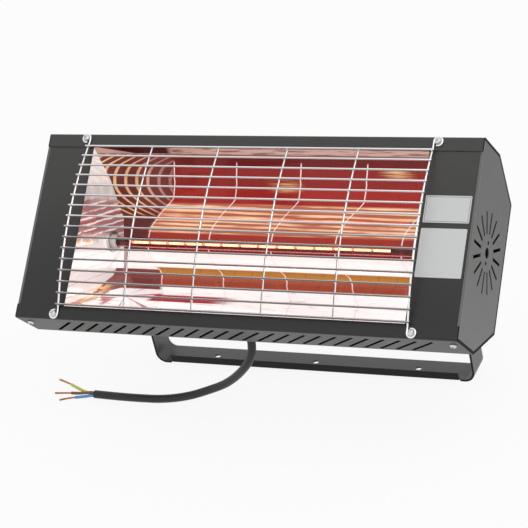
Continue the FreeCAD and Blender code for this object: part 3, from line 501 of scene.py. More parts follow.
def shell_painted_shade(finish):
    """Painted shade along the cut edge of the sheet at both ends."""
    x = finish.split(finish.heater_place())[0]
    return x.size().rise(CUT_EDGE, CUT_EDGE + 0.0003), 0.0


def end_plate_painted_shading(finish):
    """Painted shadow along the rear sides, a painted highlight on the bent edge along the front, and painted light
    that makes the enamel paler towards the bottom.
    """
    _, y, z = finish.split(finish.heater_place())
    sides = [y * across + z * upward - reach for across, upward, reach in outline_planes("right_end_plate")
             if across > -0.5]
    rim = functools.reduce(Value.larger, sides).rise(-SHADE_RIM_WIDTH, -SHADE_RIM_WIDTH + 0.0002)
    front = y.rise(FRONT_EDGE + 0.0005, FRONT_EDGE - 0.0005)
    # Painted highlight on the front edge, and painted light that grows towards the bottom
    return rim, front.larger(0.22 + z.rise(0.095, -0.095) * 0.6)


def bracket_painted_shading(finish):
    """Painted shade on the front edge; painted light where the light from above and from the side falls on the
    strap.
    """
    y = finish.split(finish.place())[1]
    front = y.rise(BRACKET_FRONT + 0.0006, BRACKET_FRONT + 0.0003)
    return front * 0.6, (1.0 - front) * 0.8


# Reflector

class LitSheet(Finish):
    """Mirror sheet with painted lamp light on its inner side, laid in layers in the heater's upright frame."""

    def __init__(self, name, colours, **constants):
        super().__init__(name, **constants)
        self.colours = colours
        self.sheet_place = self.heater_place()
        self.x, self.y, self.z = self.split(self.sheet_place)
        self.inside = self.attribute("inside")
        self.height = share_of_height(self.z)

    def specks(self, scale):
        return self.noise(self.sheet_place, scale)

    def streaks(self, along, over, scale=2.0, detail=2.0, turn=0.0):
        """Noise drawn out along the heater, turned a little upwards."""
        place = self.stretched(self.sheet_place, (along, 0.0, over), (0.0, turn, 0.0))
        return self.noise(place, scale, detail)

    def angle_round(self, middle):
        """Angle round a point that is given in X and Z."""
        return (self.z - middle[1]).angle(self.x - middle[0])

    def over(self, shade, share, rgb):
        """Lays a colour over a share of a shade."""
        return self.mixed(share, shade, paint(rgb))

    def show(self, shade, less_metal, more_gloss, relief, uneven, depth):
        """Shows the painted light on the inner side, as colour and as emitted glow; the outer side is plain metal,
        and both follow the relief.
        """
        self.feed(base_color=self.mixed(self.inside, paint(self.colours.zinc), shade),
                  emission_color=self.mixed(self.inside, paint(BLACK), shade),
                  metallic=0.9 - self.inside * less_metal,
                  roughness=0.25 - self.inside * more_gloss + relief * uneven,
                  normal=self.raised(relief, depth, 0.0006))


def share_of_height(z):
    """Height in the mouth, from 0 at its lower edge to 1 at its upper edge."""
    return (z + MOUTH_RISE) / (2 * MOUTH_RISE)


def shift_stops():
    """Ramp stops that give the sideways shift of the bars as a share of its span."""
    return [(share_of_height(z), ((shift - SHIFT_LOW) / SHIFT_SPAN,) * 3) for z, shift in BAR_SHIFT]


def band_stops(bands):
    """Ramp stops of plain bands with narrow borders."""
    stops = []
    for (low, rgb), (high, _) in zip(bands, bands[1:] + [(2 * MOUTH_RISE, None)]):
        stops += [(share_of_height(low + BAND_SOFT), rgb), (share_of_height(high - BAND_SOFT), rgb)]
    stops[0] = (0.0, stops[0][1])
    stops[-1] = (1.0, stops[-1][1])
    return stops


def trough_painted_reflection(colours):
    """Mirror of the trough with the lit lamp's light and reflections painted on it: bands along the folds, drawn
    in by the cheek.
    """
    sheet = LitSheet("lit_trough", colours, emission_strength=0.55, specular_ior_level=0.15)
    x, z = sheet.x, sheet.z
    shift = sheet.ramp(sheet.height, shift_stops(), "B_SPLINE")
    across = x - shift * SHIFT_SPAN - SHIFT_LOW
    grain = sheet.streaks(7.0, 330.0, 2.2, 3.0)
    tan = z.band(*TAN_ZONE, 0.0010)
    pale = z.band(*WHITE_ZONE, 0.0004).larger(z.rise(FLOOR_START + 0.0004, FLOOR_START - 0.0004))

    shade = middle_light(sheet, grain, tan)
    shade = sheet.mixed(across.rise(*CORNER_EDGE), shade, corner_light(sheet, grain))
    shade = roof_light(sheet, shade)
    shade = floor_light(sheet, shade)
    # Painted reflections of the guard's uprights: white lines, rose on the pale zones
    bars = across.lines(BAR_PITCH, BAR_WIDTH, BAR_FIRST) * across.rise(*BAR_START)
    shade = sheet.over(shade, bars * (1.0 - pale) * z.rise(*BAR_TOP) * 0.62, colours.mirror)
    shade = sheet.over(shade, bars * pale * 0.35, colours.glow_rose)
    waves = sheet.noise(sheet.stretched(sheet.sheet_place, (6.0, 60.0, 60.0)), 2.0)
    sheet.show(shade, less_metal=0.55 + pale * 0.2 + tan * 0.22, more_gloss=0.18, relief=waves, uneven=0.07,
               depth=0.08)
    return sheet.material


def middle_light(sheet, grain, tan):
    """Painted lamp light over the middle of the trough: bands, dark ticks, cream lines, gold glints and a smeared
    roof.
    """
    colours, x, z = sheet.colours, sheet.x, sheet.z
    shade = sheet.ramp(sheet.height, band_stops(MIDDLE_BANDS))
    ticks = x.lines(0.0188, 0.0007, 0.041) * sheet.specks(40.0).rise(0.35, 0.6)
    lit = z.band(*RED_ZONE, 0.001).larger(z.band(*AMBER_ZONE, 0.0006))
    shade = sheet.over(shade, ticks * lit * 0.45, colours.glow_dark)
    cream = tan * (z + x * 0.012 + grain * 0.0035).lines(0.0038, 0.0017)
    shade = sheet.over(shade, cream * sheet.streaks(9.0, 80.0).rise(0.25, 0.6) * 0.9, colours.glow_cream)
    # Painted gold glints of lamp light
    spots = functools.reduce(Value.larger, [x.band(*along) * z.band(*upward) for along, upward in GOLD_GLINTS])
    hairs = sheet.streaks(10.0, 1300.0).rise(0.40, 0.56)
    shade = sheet.over(shade, spots * hairs * 0.95, colours.glow_gold)
    roof = z.rise(ROOF_START, ROOF_START + BAND_SOFT)
    smears = sheet.streaks(16.0, 700.0, detail=3.0, turn=0.03).rise(0.5, 0.6)
    return sheet.over(shade, roof * smears * 0.7, colours.glow_dark)


def corner_light(sheet, grain):
    """Painted light in the left corner: bands, reflected arcs of the coil, and spokes, a curl and gold glints low
    down.
    """
    colours, x, z = sheet.colours, sheet.x, sheet.z
    slope = (-0.144 - x).larger(0.0) * z.rise(-0.030, -0.042) * 0.45 / (2 * MOUTH_RISE)
    shade = sheet.ramp(sheet.height + slope, band_stops(LEFT_BANDS))
    from_bend = z - ARC_BEND
    bent = x - from_bend * from_bend * ARC_BULGE - (z - ARC_KINK).larger(0.0) * ARC_LEAN
    arcs = bent.lines(ARC_PITCH, ARC_WIDTH, ARC_FIRST) * z.band(0.033, ROOF_START, 0.001)
    arcs = arcs * (0.6 + grain * 0.8) * (1.0 - x.rise(-0.14, -0.10) * 0.4)
    warm = sheet.mixed(x.rise(-0.155, -0.105), paint(colours.glow_gold), paint(colours.glow_rose))
    shade = sheet.mixed(arcs * 0.95, shade, warm)
    low = z.band(-0.079, -0.0475, 0.002)
    spokes = (sheet.angle_round(SPOKES_MIDDLE) * 12.0 + grain * 0.6).sine().rise(0.88, 0.98)
    shade = sheet.over(shade, spokes * x.rise(-0.131, -0.126) * low * 0.8, colours.glow)
    curl = (sheet.angle_round(CURL_MIDDLE) * 3.0 + grain * 5.0).sine().rise(0.1, 0.5)
    shade = sheet.over(shade, curl * low * x.rise(-0.136, -0.142) * 0.9, colours.glow)
    edge = x.rise(-0.150, -0.166) * z.band(-0.074, -0.043, 0.003)
    shade = sheet.over(shade, edge * sheet.specks(110.0).rise(0.40, 0.55), colours.glow_gold)
    post = (x + 0.163 + z * 0.335).band(-0.0025, 0.0025, 0.0006) * z.band(-0.026, 0.001, 0.001)
    return sheet.over(shade, post * 0.8, Vector(colours.glow_rose) * 0.8)


def roof_light(sheet, shade):
    """Painted dark reflection in a wedge at the left end of the roof, up to the mouth's edge."""
    x, z = sheet.x, sheet.z
    wedge = (z - (0.0812 - (x + 0.172) * 0.088).larger(0.0776)).rise(0.0, 0.0005)
    return sheet.over(shade, wedge * x.rise(-0.089, -0.097), Vector(sheet.colours.glow_dark) * 0.4)


def floor_light(sheet, shade):
    """Painted red streak and thin red threads of lamp light on the pale floor of the trough."""
    colours, x, z = sheet.colours, sheet.x, sheet.z
    ragged = (x + sheet.streaks(5.0, 900.0) * 0.03).rise(0.012, -0.022)
    streak = z.band(-0.0650, -0.0545, 0.0010) * x.rise(-0.106, -0.098) * ragged
    shade = sheet.over(shade, streak, Vector(colours.glow) * 1.2)
    threads = (sheet.streaks(5.0, 90.0, detail=1.0, turn=0.05) - 0.5).size().rise(0.012, 0.004)
    return sheet.over(shade, z.rise(-0.042, -0.044) * threads * 0.35, colours.glow)


def cheek_painted_reflection(colours):
    """Mirror of a cheek with painted lamp light: white above and below, rose with streaks and gold glints level
    with the lamp.
    """
    sheet = LitSheet("lit_cheek", colours, emission_strength=0.42, specular_ior_level=0.25)
    y, z = sheet.y, sheet.z
    grain = sheet.noise(sheet.stretched(sheet.sheet_place, (0.0, 34.0, 34.0)), 2.0, 3.0)
    level = z - (y - 0.010) * 0.34
    slant = z - y * 0.55 + grain * 0.004
    grey = (level + grain * 0.01).band(0.030, 0.052, 0.006)
    shade = sheet.over(paint(colours.mirror), grey, Vector(colours.mirror) * 0.72)
    near = (level + grain * 0.008).band(-0.004, 0.034, 0.005)
    shade = sheet.over(shade, near, colours.glow_rose)
    bright = near * slant.lines(0.0068, 0.0022) * grain.rise(0.3, 0.5)
    shade = sheet.over(shade, bright * 0.9, colours.mirror)
    shade = sheet.over(shade, near * slant.lines(0.0112, 0.002, 0.003) * 0.5, colours.glow)
    # Painted gold glints of lamp light
    spots = level.band(-0.0150, -0.0095, 0.0012) * y.rise(0.040, 0.028) * sheet.specks(90.0).rise(0.4, 0.55)
    shade = sheet.over(shade, spots * 0.8, colours.glow_gold)
    threads = level.rise(-0.014, -0.018) * slant.lines(0.0125, 0.0008, 0.002)
    shade = sheet.over(shade, threads * 0.4, colours.glow_rose)
    sheet.show(shade, less_metal=0.55, more_gloss=0.19, relief=grain, uneven=0.06, depth=0.05)
    return sheet.material


# Other finishes

def chrome_finish(colours):
    """Bright plated wire with drawing marks, and painted shade on the side that faces the ground, darker below the
    lamp.
    """
    finish = Finish("chrome_wire", metallic=1.0)
    z = finish.split(finish.heater_place())[2]
    marks = finish.noise(finish.place(), 700.0, 3.0)
    # Painted shade: the underside of each wire takes the shaded colours, and the wires below the lamp more so
    low = z.rise(0.004, -0.012)
    shaded = (finish.attribute("under") + low * 0.22).rise(0.45, 0.75)
    dull = finish.mixed(low, paint(colours.chrome_shade), paint(colours.chrome_dark))
    finish.feed(base_color=finish.mixed(shaded * (0.85 + marks * 0.15), paint(colours.chrome), dull),
                roughness=0.12 + marks * 0.12)
    return finish.material


def zinc_finish(colours):
    """Bright zinc plating, a little uneven."""
    finish = Finish("zinc_steel", metallic=1.0)
    grain = finish.noise(finish.place(), 420.0, 4.0)
    base = Vector(colours.zinc)
    finish.feed(base_color=finish.mixed(grain, paint(base * 0.75), paint(base)),
                roughness=0.24 + grain * 0.18,
                normal=finish.raised(grain, 0.08, 0.0002))
    return finish.material


def ruby_finish(colours):
    """Ruby quartz: clear red glass with faint drawing lines."""
    finish = Finish("quartz_glass", transmission_weight=1.0, ior=1.46)
    lines = finish.noise(finish.stretched(finish.place(), (4.0, 600.0, 600.0)), 1.0)
    base = Vector(colours.ruby)
    finish.feed(base_color=finish.mixed(lines, paint(base * 0.85), paint(base)),
                roughness=0.01 + lines * 0.03)
    return finish.material


def hot_coil_finish(colours):
    """Lit tungsten coil, with hotter and duller turns."""
    finish = Finish("filament_wire", metallic=1.0, roughness=0.4, emission_strength=13.0)
    heat = finish.noise(finish.place(), 160.0)
    base = Vector(colours.hot_coil)
    finish.feed(base_color=finish.mixed(heat, paint(base * 0.6), paint(base)),
                emission_color=finish.mixed(heat, paint(base * 0.8), paint(base)))
    return finish.material


def earth_finish(colours):
    """Green insulation with a yellow stripe along it."""
    finish = Finish("earth_insulation")
    grain = finish.noise(finish.place(), 500.0)
    stripe = finish.attribute("around").rise(0.6, 0.45)
    finish.feed(base_color=finish.mixed(stripe, paint(colours.earth_green), paint(colours.earth_yellow)),
                roughness=0.3 + grain * 0.15)
    return finish.material


def plate_finish(colours):
    """Bare brushed aluminium plate."""
    finish = Finish("rating_plate", metallic=0.35)
    brush = finish.noise(finish.stretched(finish.heater_place(), (30.0, 30.0, 900.0)), 2.0, 3.0)
    base = Vector(colours.plate)
    finish.feed(base_color=finish.mixed(brush, paint(base * 0.9), paint(base * 1.06)),
                roughness=0.34 + brush * 0.12)
    return finish.material


def mottled_finish(name, rgb, roughness, grain_size, metallic, depth):
    """Plain stock with a fine grain: darker and lighter specks, and a dull and a glossy side."""
    finish = Finish(name, metallic=metallic)
    grain = finish.noise(finish.place(), grain_size, 3.0)
    base = Vector(rgb)
    finish.feed(base_color=finish.mixed(grain, paint(base * 0.78), paint(base * 1.1)),
                roughness=roughness - 0.08 + grain * 0.16,
                normal=finish.raised(grain, depth, 0.0003))
    return finish.material


FINISHES = {"black_enamel": enamel_finish, "chrome_wire": chrome_finish, "zinc_steel": zinc_finish,
            "quartz_glass": ruby_finish, "filament_wire": hot_coil_finish, "earth_insulation": earth_finish}
# Plain stock: the setting of its colour, its roughness, size of grain, metallic and depth of grain
PLAIN_STOCK = {
    "support_wire": ("support", 0.35, 900.0, 1.0, 0.08),
    "white_ceramic": ("ceramic", 0.55, 380.0, 0.0, 0.08),
    "friction_fibre": ("fibre", 0.8, 700.0, 0.0, 0.3),
    "black_rubber": ("rubber", 0.42, 800.0, 0.0, 0.12),
    "black_plastic": ("plastic", 0.4, 1200.0, 0.0, 0.08),
    "live_insulation": ("live_brown", 0.36, 500.0, 0.0, 0.08),
    "neutral_insulation": ("neutral_blue", 0.36, 500.0, 0.0, 0.08),
    "bare_copper": ("copper", 0.3, 900.0, 1.0, 0.08),
    "inner_sleeving": ("sleeving", 0.6, 900.0, 0.0, 0.2),
    "brass_stud": ("brass", 0.28, 600.0, 1.0, 0.08),
}


def finish_of(slot):
    """The finish of one of the record's slots, made when it is first asked for."""
    ready = bpy.data.materials.get("heater_" + slot)
    if ready:
        return ready
    colours = bpy.context.scene.heater_colours
    if slot in FINISHES:
        return FINISHES[slot](colours)
    setting, *traits = PLAIN_STOCK[slot]
    return mottled_finish(slot, getattr(colours, setting), *traits)


def dress(nodes, finish=None):
    """Gives frame nodes their finish."""
    for node in nodes:
        for slot in frame["nodes"][node].material_slots:
            slot.material = finish or finish_of(SLOT_OF[node])


# Modelling

def corners(places):
    return Vector(map(min, zip(*places))), Vector(map(max, zip(*places)))


def heater_places(node):
    """Vertices of a frame node in the heater's own upright frame."""
    return [UPRIGHT @ vertex.co for vertex in frame["nodes"][node].data.vertices]


def heater_box(node):
    """Lowest and highest corner of a frame node in the heater's own upright frame."""
    return corners(heater_places(node))


def heater_faces(node):
    """Normal, centre and area of each face of a frame node in the heater's own upright frame."""
    return [(UPRIGHT_TURN @ face.normal, UPRIGHT @ face.center, face.area)
            for face in frame["nodes"][node].data.polygons]


def outline_planes(node):
    """Flat outer sides of a node along the heater, as their direction in Y and Z and how far out they lie."""
    places = heater_places(node)
    sides = {}
    for normal, centre, area in heater_faces(node):
        if abs(normal.x) < 0.02:
            side = (round(normal.y, 3), round(normal.z, 3))
            sides.setdefault(side, []).append((normal.dot(centre), area))
    planes = []
    for (across, upward), faces in sides.items():
        reach = max(across * place.y + upward * place.z for place in places)
        if sum(area for out, area in faces if out > reach - 0.0002) > FLAT_SIDE:
            planes.append((across, upward, reach))
    return planes


def merged_copy(node):
    """A frame node's triangles, joined at their corners."""
    bm = bmesh.new()
    bm.from_mesh(frame["nodes"][node].data)
    bmesh.ops.remove_doubles(bm, verts=bm.verts, dist=MERGE_WITHIN)
    return bm


def mesh_from(name, bm):
    mesh = bpy.data.meshes.new(name)
    bm.to_mesh(mesh)
    bm.free()
    return mesh


def add_object(name, data):
    made = bpy.data.objects.new(name, data)
    bpy.context.scene.collection.objects.link(made)
    return made


def add_piece(name, bm, slot, body="heater", replaced=(), finish=None, sharp=SHARP_ANGLE):
    """Turns a bmesh into a piece that rides on a body."""
    mesh = mesh_from(name, bm)
    mesh.polygons.foreach_set("use_smooth", [True] * len(mesh.polygons))
    mesh.set_sharp_from_angle(angle=sharp)
    mesh.materials.append(finish or finish_of(slot))
    piece = add_object(name, mesh)
    if replaced:
        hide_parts(*replaced)
    if body:
        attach(piece, body)
    return piece


def spline_points(route):
    """Points along the smooth line whose control points are the route."""
    curve = bpy.data.curves.new("route", "CURVE")
    curve.dimensions = "3D"
    curve.resolution_u = 10
    spline = curve.splines.new("NURBS")
    spline.points.add(len(route) - 1)
    for point, place in zip(spline.points, route):
        point.co = (*place, 1.0)
    spline.order_u = 3
    spline.use_endpoint_u = True
    holder = bpy.data.objects.new("route", curve)
    line = bpy.data.meshes.new_from_object(holder)
    points = [vertex.co.copy() for vertex in line.vertices]
    bpy.data.objects.remove(holder)
    bpy.data.curves.remove(curve)
    bpy.data.meshes.remove(line)
    return points


def headings_of(points):
    last = len(points) - 1
    return [(points[min(i + 1, last)] - points[max(i - 1, 0)]).normalized() for i in range(last + 1)]


def turned(start, end):
    """The turn from one direction to another."""
    return start.rotation_difference(end).to_matrix().to_4x4()


def vertex_layer(bm, name):
    layers = bm.verts.layers.float
    return layers.get(name) or layers.new(name)


def edges_of(vertices):
    return list({edge for vertex in vertices for edge in vertex.link_edges})


def sweep(bm, points, radius, sides):
    """Round bar along points; keeps the cosine of the angle round it as the attribute around."""
    around = vertex_layer(bm, "around")
    headings = headings_of(points)
    side = headings[0].orthogonal().normalized()
    ring = bmesh.ops.create_circle(bm, cap_ends=False, segments=sides, radius=radius,
                                   matrix=Matrix.Translation(points[0]) @ turned(UP, headings[0]))["verts"]
    first = edges = edges_of(ring)
    for i, point in enumerate(points):
        for vertex in ring:
            vertex[around] = (vertex.co - point).normalized().dot(side)
        if point is points[-1]:
            break
        grown = bmesh.ops.extrude_edge_only(bm, edges=edges)["geom"]
        ring = [item for item in grown if isinstance(item, bmesh.types.BMVert)]
        edges = [item for item in grown if isinstance(item, bmesh.types.BMEdge)
                 and item.verts[0] in ring and item.verts[1] in ring]
        side.rotate(headings[i].rotation_difference(headings[i + 1]))
        step = Matrix.Translation(points[i + 1]) @ turned(headings[i], headings[i + 1])
        bmesh.ops.transform(bm, matrix=step @ Matrix.Translation(-point), verts=ring)
    bmesh.ops.edgeloop_fill(bm, edges=first)
    bmesh.ops.edgeloop_fill(bm, edges=edges)
    bmesh.ops.recalc_face_normals(bm, faces=bm.faces)


def wire(bm, start, end, diameter, sides):
    """Straight wire with rounded ends; its attribute under is 1 along its underside and 0 along its top."""
    under = vertex_layer(bm, "under")
    axis = end - start
    middle = Matrix.Translation((start + end) / 2)
    radius = diameter / 2
    made = bmesh.ops.create_cone(bm, cap_ends=True, segments=sides, radius1=radius, radius2=radius,
                                 depth=axis.length, matrix=middle @ turned(UP, axis))["verts"]
    for vertex in made:
        vertex[under] = 0.5 - (vertex.co - start).dot(UP) / diameter
    rims = [edge for edge in edges_of(made) if any(len(face.verts) == sides for face in edge.link_faces)]
    bmesh.ops.bevel(bm, geom=rims, offset=diameter * WIRE_ROUNDING, segments=2, profile=0.5, affect="EDGES",
                    material=-1)


# Pieces

class HEATER_OT_stage(bpy.types.Operator):
    """Camera, pale floor and soft light"""

    bl_idname = "heater.stage"
    bl_label = "Stage"

    def execute(self, context):
        stage = context.scene.heater_stage
        self.add_camera(context, stage)
        self.add_light(stage)
        self.add_world(context, stage)
        self.add_floor(stage)
        context.scene.view_settings.view_transform = "Standard"
        return {"FINISHED"}

    def add_camera(self, context, stage):
        camera = add_object("camera", bpy.data.cameras.new("camera"))
        camera.location = stage.camera_spot
        camera.rotation_euler = stage.camera_turn
        camera.data.sensor_width = 36.0
        camera.data.lens = stage.focal_length
        context.scene.camera = camera

    def add_light(self, stage):
        lamp = bpy.data.lights.new("key", "AREA")
        lamp.shape = "RECTANGLE"
        lamp.size = stage.key_width
        lamp.size_y = stage.key_depth
        lamp.energy = stage.key_power
        key = add_object("key", lamp)
        key.location = stage.key_spot
        aim = Vector(stage.key_aim) - Vector(stage.key_spot)
        key.rotation_euler = aim.to_track_quat("-Z", "Y").to_euler()

    def add_world(self, context, stage):
        world = bpy.data.worlds.new("surroundings")
        context.scene.world = world
        world.use_nodes = True
        sky = Nodes(world.node_tree)
        background = world.node_tree.nodes["Background"]
        sky.put(background.inputs["Color"], paint(WHITE))
        sky.put(background.inputs["Strength"], stage.dome + sky.seen() * (1.0 - stage.dome))

    def add_floor(self, stage):
        bm = bmesh.new()
        bmesh.ops.create_grid(bm, x_segments=1, y_segments=1, size=stage.floor_size / 2)
        floor = add_object("floor", mesh_from("floor", bm))
        floor.location.z = min(0.0, CAD_BOX[0].z)
        finish = Finish("floor", base_color=paint(stage.floor), roughness=0.9, specular_ior_level=0.0)
        finish.covered(finish.seen() * stage.floor_white, "ShaderNodeEmission")
        floor.data.materials.append(finish.material)


class HEATER_OT_supply_cord(bpy.types.Operator):
    """Black supply cord from the gland to the cut end of its sheath"""

    bl_idname = "heater.supply_cord"
    bl_label = "Supply cord"

    def execute(self, context):
        diameter = context.scene.heater_sizes.cord
        points = spline_points(CORD_ROUTE)
        bm = bmesh.new()
        sweep(bm, points, diameter / 2, CORD_SIDES)
        cord = add_piece("supply_cord_sheath", bm, "black_rubber", body=None, replaced=["supply_cord"])
        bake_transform(cord, "bracket", "heater", start=CORD_LANDED, end=CORD_HELD)
        return {"FINISHED"}


class HEATER_OT_cores(bpy.types.Operator):
    """Three insulated cores and their bared copper strands"""

    bl_idname = "heater.cores"
    bl_label = "Cores"

    def execute(self, context):
        sizes = context.scene.heater_sizes
        for node, route in CORE_ROUTES.items():
            bm = bmesh.new()
            sweep(bm, spline_points(route), sizes.core / 2, CORE_SIDES)
            add_piece(node + "_insulation", bm, SLOT_OF[node], body="bracket", replaced=[node])
        bm = bmesh.new()
        for route in STRAND_ROUTES:
            self.add_strands(bm, spline_points(route), sizes.strand_bundle / 3)
        add_piece("copper_strands", bm, "bare_copper", body="bracket", replaced=["core_strands"])
        return {"FINISHED"}

    def add_strands(self, bm, points, fine):
        """Fine wires laid round one in the middle, opening a little towards their tips."""
        headings = headings_of(points)
        sweep(bm, points, fine / 2, STRAND_SIDES)
        for k in range(STRANDS_ROUND):
            line = []
            for i, (point, heading) in enumerate(zip(points, headings)):
                share = i / (len(points) - 1)
                side = heading.cross(UP).normalized()
                angle = FULL_TURN * (k / STRANDS_ROUND + STRAND_TWIST * share)
                outward = side * math.cos(angle) + side.cross(heading) * math.sin(angle)
                line.append(point + outward * fine * (1 + STRAND_SPREAD * share))
            sweep(bm, line, fine / 2, STRAND_SIDES)


class HEATER_OT_housing(bpy.types.Operator):
    """Housing, end plates, front panels and bracket in black enamel"""

    bl_idname = "heater.housing"
    bl_label = "Housing and bracket"

    def execute(self, context):
        colours = context.scene.heater_colours
        dress(node for node in SLOT_OF if SLOT_OF[node] == "black_enamel")
        dress(["housing_shell"], enamel_finish(colours, "shell_enamel", shell_painted_shade))
        dress(["left_end_plate", "right_end_plate"], enamel_finish(colours, "end_enamel", end_plate_painted_shading))
        dress(["mounting_bracket"], enamel_finish(colours, "bracket_enamel", bracket_painted_shading))
        return {"FINISHED"}


class HEATER_OT_reflector(bpy.types.Operator):
    """Mirrored trough and cheeks with the lamp's glow painted on them"""

    bl_idname = "heater.reflector"
    bl_label = "Reflector"

    def execute(self, context):
        colours = context.scene.heater_colours
        self.add_sheet("reflector_trough", trough_painted_reflection(colours), self.faces_lamp)
        cheek = cheek_painted_reflection(colours)
        for node in ("left_reflector_cheek", "right_reflector_cheek"):
            self.add_sheet(node, cheek, self.faces_middle)
        return {"FINISHED"}

    def add_sheet(self, node, finish, looks_in):
        """Merged copy of a sheet that keeps which of its faces look at the lamp as the attribute inside."""
        bm = merged_copy(node)
        bm.normal_update()
        inside = bm.faces.layers.float.new("inside")
        for face in bm.faces:
            face[inside] = float(looks_in(UPRIGHT_TURN @ face.normal, UPRIGHT @ face.calc_center_median()))
        add_piece(node + "_sheet", bm, SLOT_OF[node], replaced=[node], finish=finish, sharp=FOLD_ANGLE)

    def faces_lamp(self, normal, centre):
        return normal.y * (MOUTH_DEPTH - centre.y) - normal.z * centre.z > 0.0

    def faces_middle(self, normal, centre):
        return normal.x * centre.x < 0.0


class HEATER_OT_guard(bpy.types.Operator):
    """Welded wire guard: cross wires over bowed uprights and side wires"""

    bl_idname = "heater.guard"
    bl_label = "Guard"

    def execute(self, context):
        thick = context.scene.heater_sizes.guard_wire
        dress(["left_guard_side_wire", "right_guard_side_wire"])
        left = heater_box("left_guard_side_wire")[1].x - thick / 2
        right = heater_box("right_guard_side_wire")[0].x + thick / 2
        rows = [(low + high) / 2 for low, high in self.wires("guard_cross_wires", 2, CROSS_WIRES, thick)]
        columns = self.wires("guard_uprights", 0, UPRIGHTS, thick)
        bm = bmesh.new()
        for row in rows:
            wire(bm, Vector((left - thick * WIRE_OVERHANG, row.y, row.z)),
                 Vector((right + thick * WIRE_OVERHANG, row.y, row.z)), thick, GUARD_SIDES)
        bm.transform(LEANED)
        add_piece("guard_wires_across", bm, "chrome_wire", replaced=["guard_cross_wires"])
        front = heater_box("guard_cross_wires")[0].y
        bm = bmesh.new()
        for low, high in columns:
            self.add_upright(bm, (low.x + high.x) / 2, low.y - front, rows, thick)
        bm.transform(LEANED)
        add_piece("guard_wires_upright", bm, "chrome_wire", replaced=["guard_uprights"])
        self.add_welds(rows, [(low.x + high.x) / 2 for low, high in columns] + [left, right], thick)
        return {"FINISHED"}

    def wires(self, node, axis, count, thick):
        """Lowest and highest corner of each wire of a node, in order along an axis."""
        low, high = heater_box(node)
        step = (high[axis] - low[axis] - thick) / (count - 1)
        groups = [[] for _ in range(count)]
        for place in heater_places(node):
            groups[round((place[axis] - low[axis] - thick / 2) / step)].append(place)
        return [corners(group) for group in groups]

    def add_upright(self, bm, x, behind, rows, thick):
        """Bowed wire behind the cross wires, along their centres."""
        line = [Vector((x, row.y + behind, row.z)) for row in rows]
        for end, beside in ((0, 1), (-1, -2)):
            line[end] += (line[end] - line[beside]).normalized() * thick / 2
        sweep(bm, line, thick / 2, GUARD_SIDES)
        under = vertex_layer(bm, "under")
        for vertex in bm.verts:
            if abs(vertex.co.x - x) < thick:
                vertex[under] = 0.5 - (vertex.co.x - x) / thick

    def add_welds(self, rows, crossings, thick):
        """Flat nugget of weld at each crossing."""
        bm = bmesh.new()
        for row in rows:
            for x in crossings:
                crossing = Matrix.Translation((x, row.y + thick / 2, row.z))
                bmesh.ops.create_icosphere(bm, subdivisions=1, radius=thick,
                                           matrix=LEANED @ crossing @ Matrix.Diagonal(WELD_SHAPE))
        add_piece("guard_welds", bm, "chrome_wire")


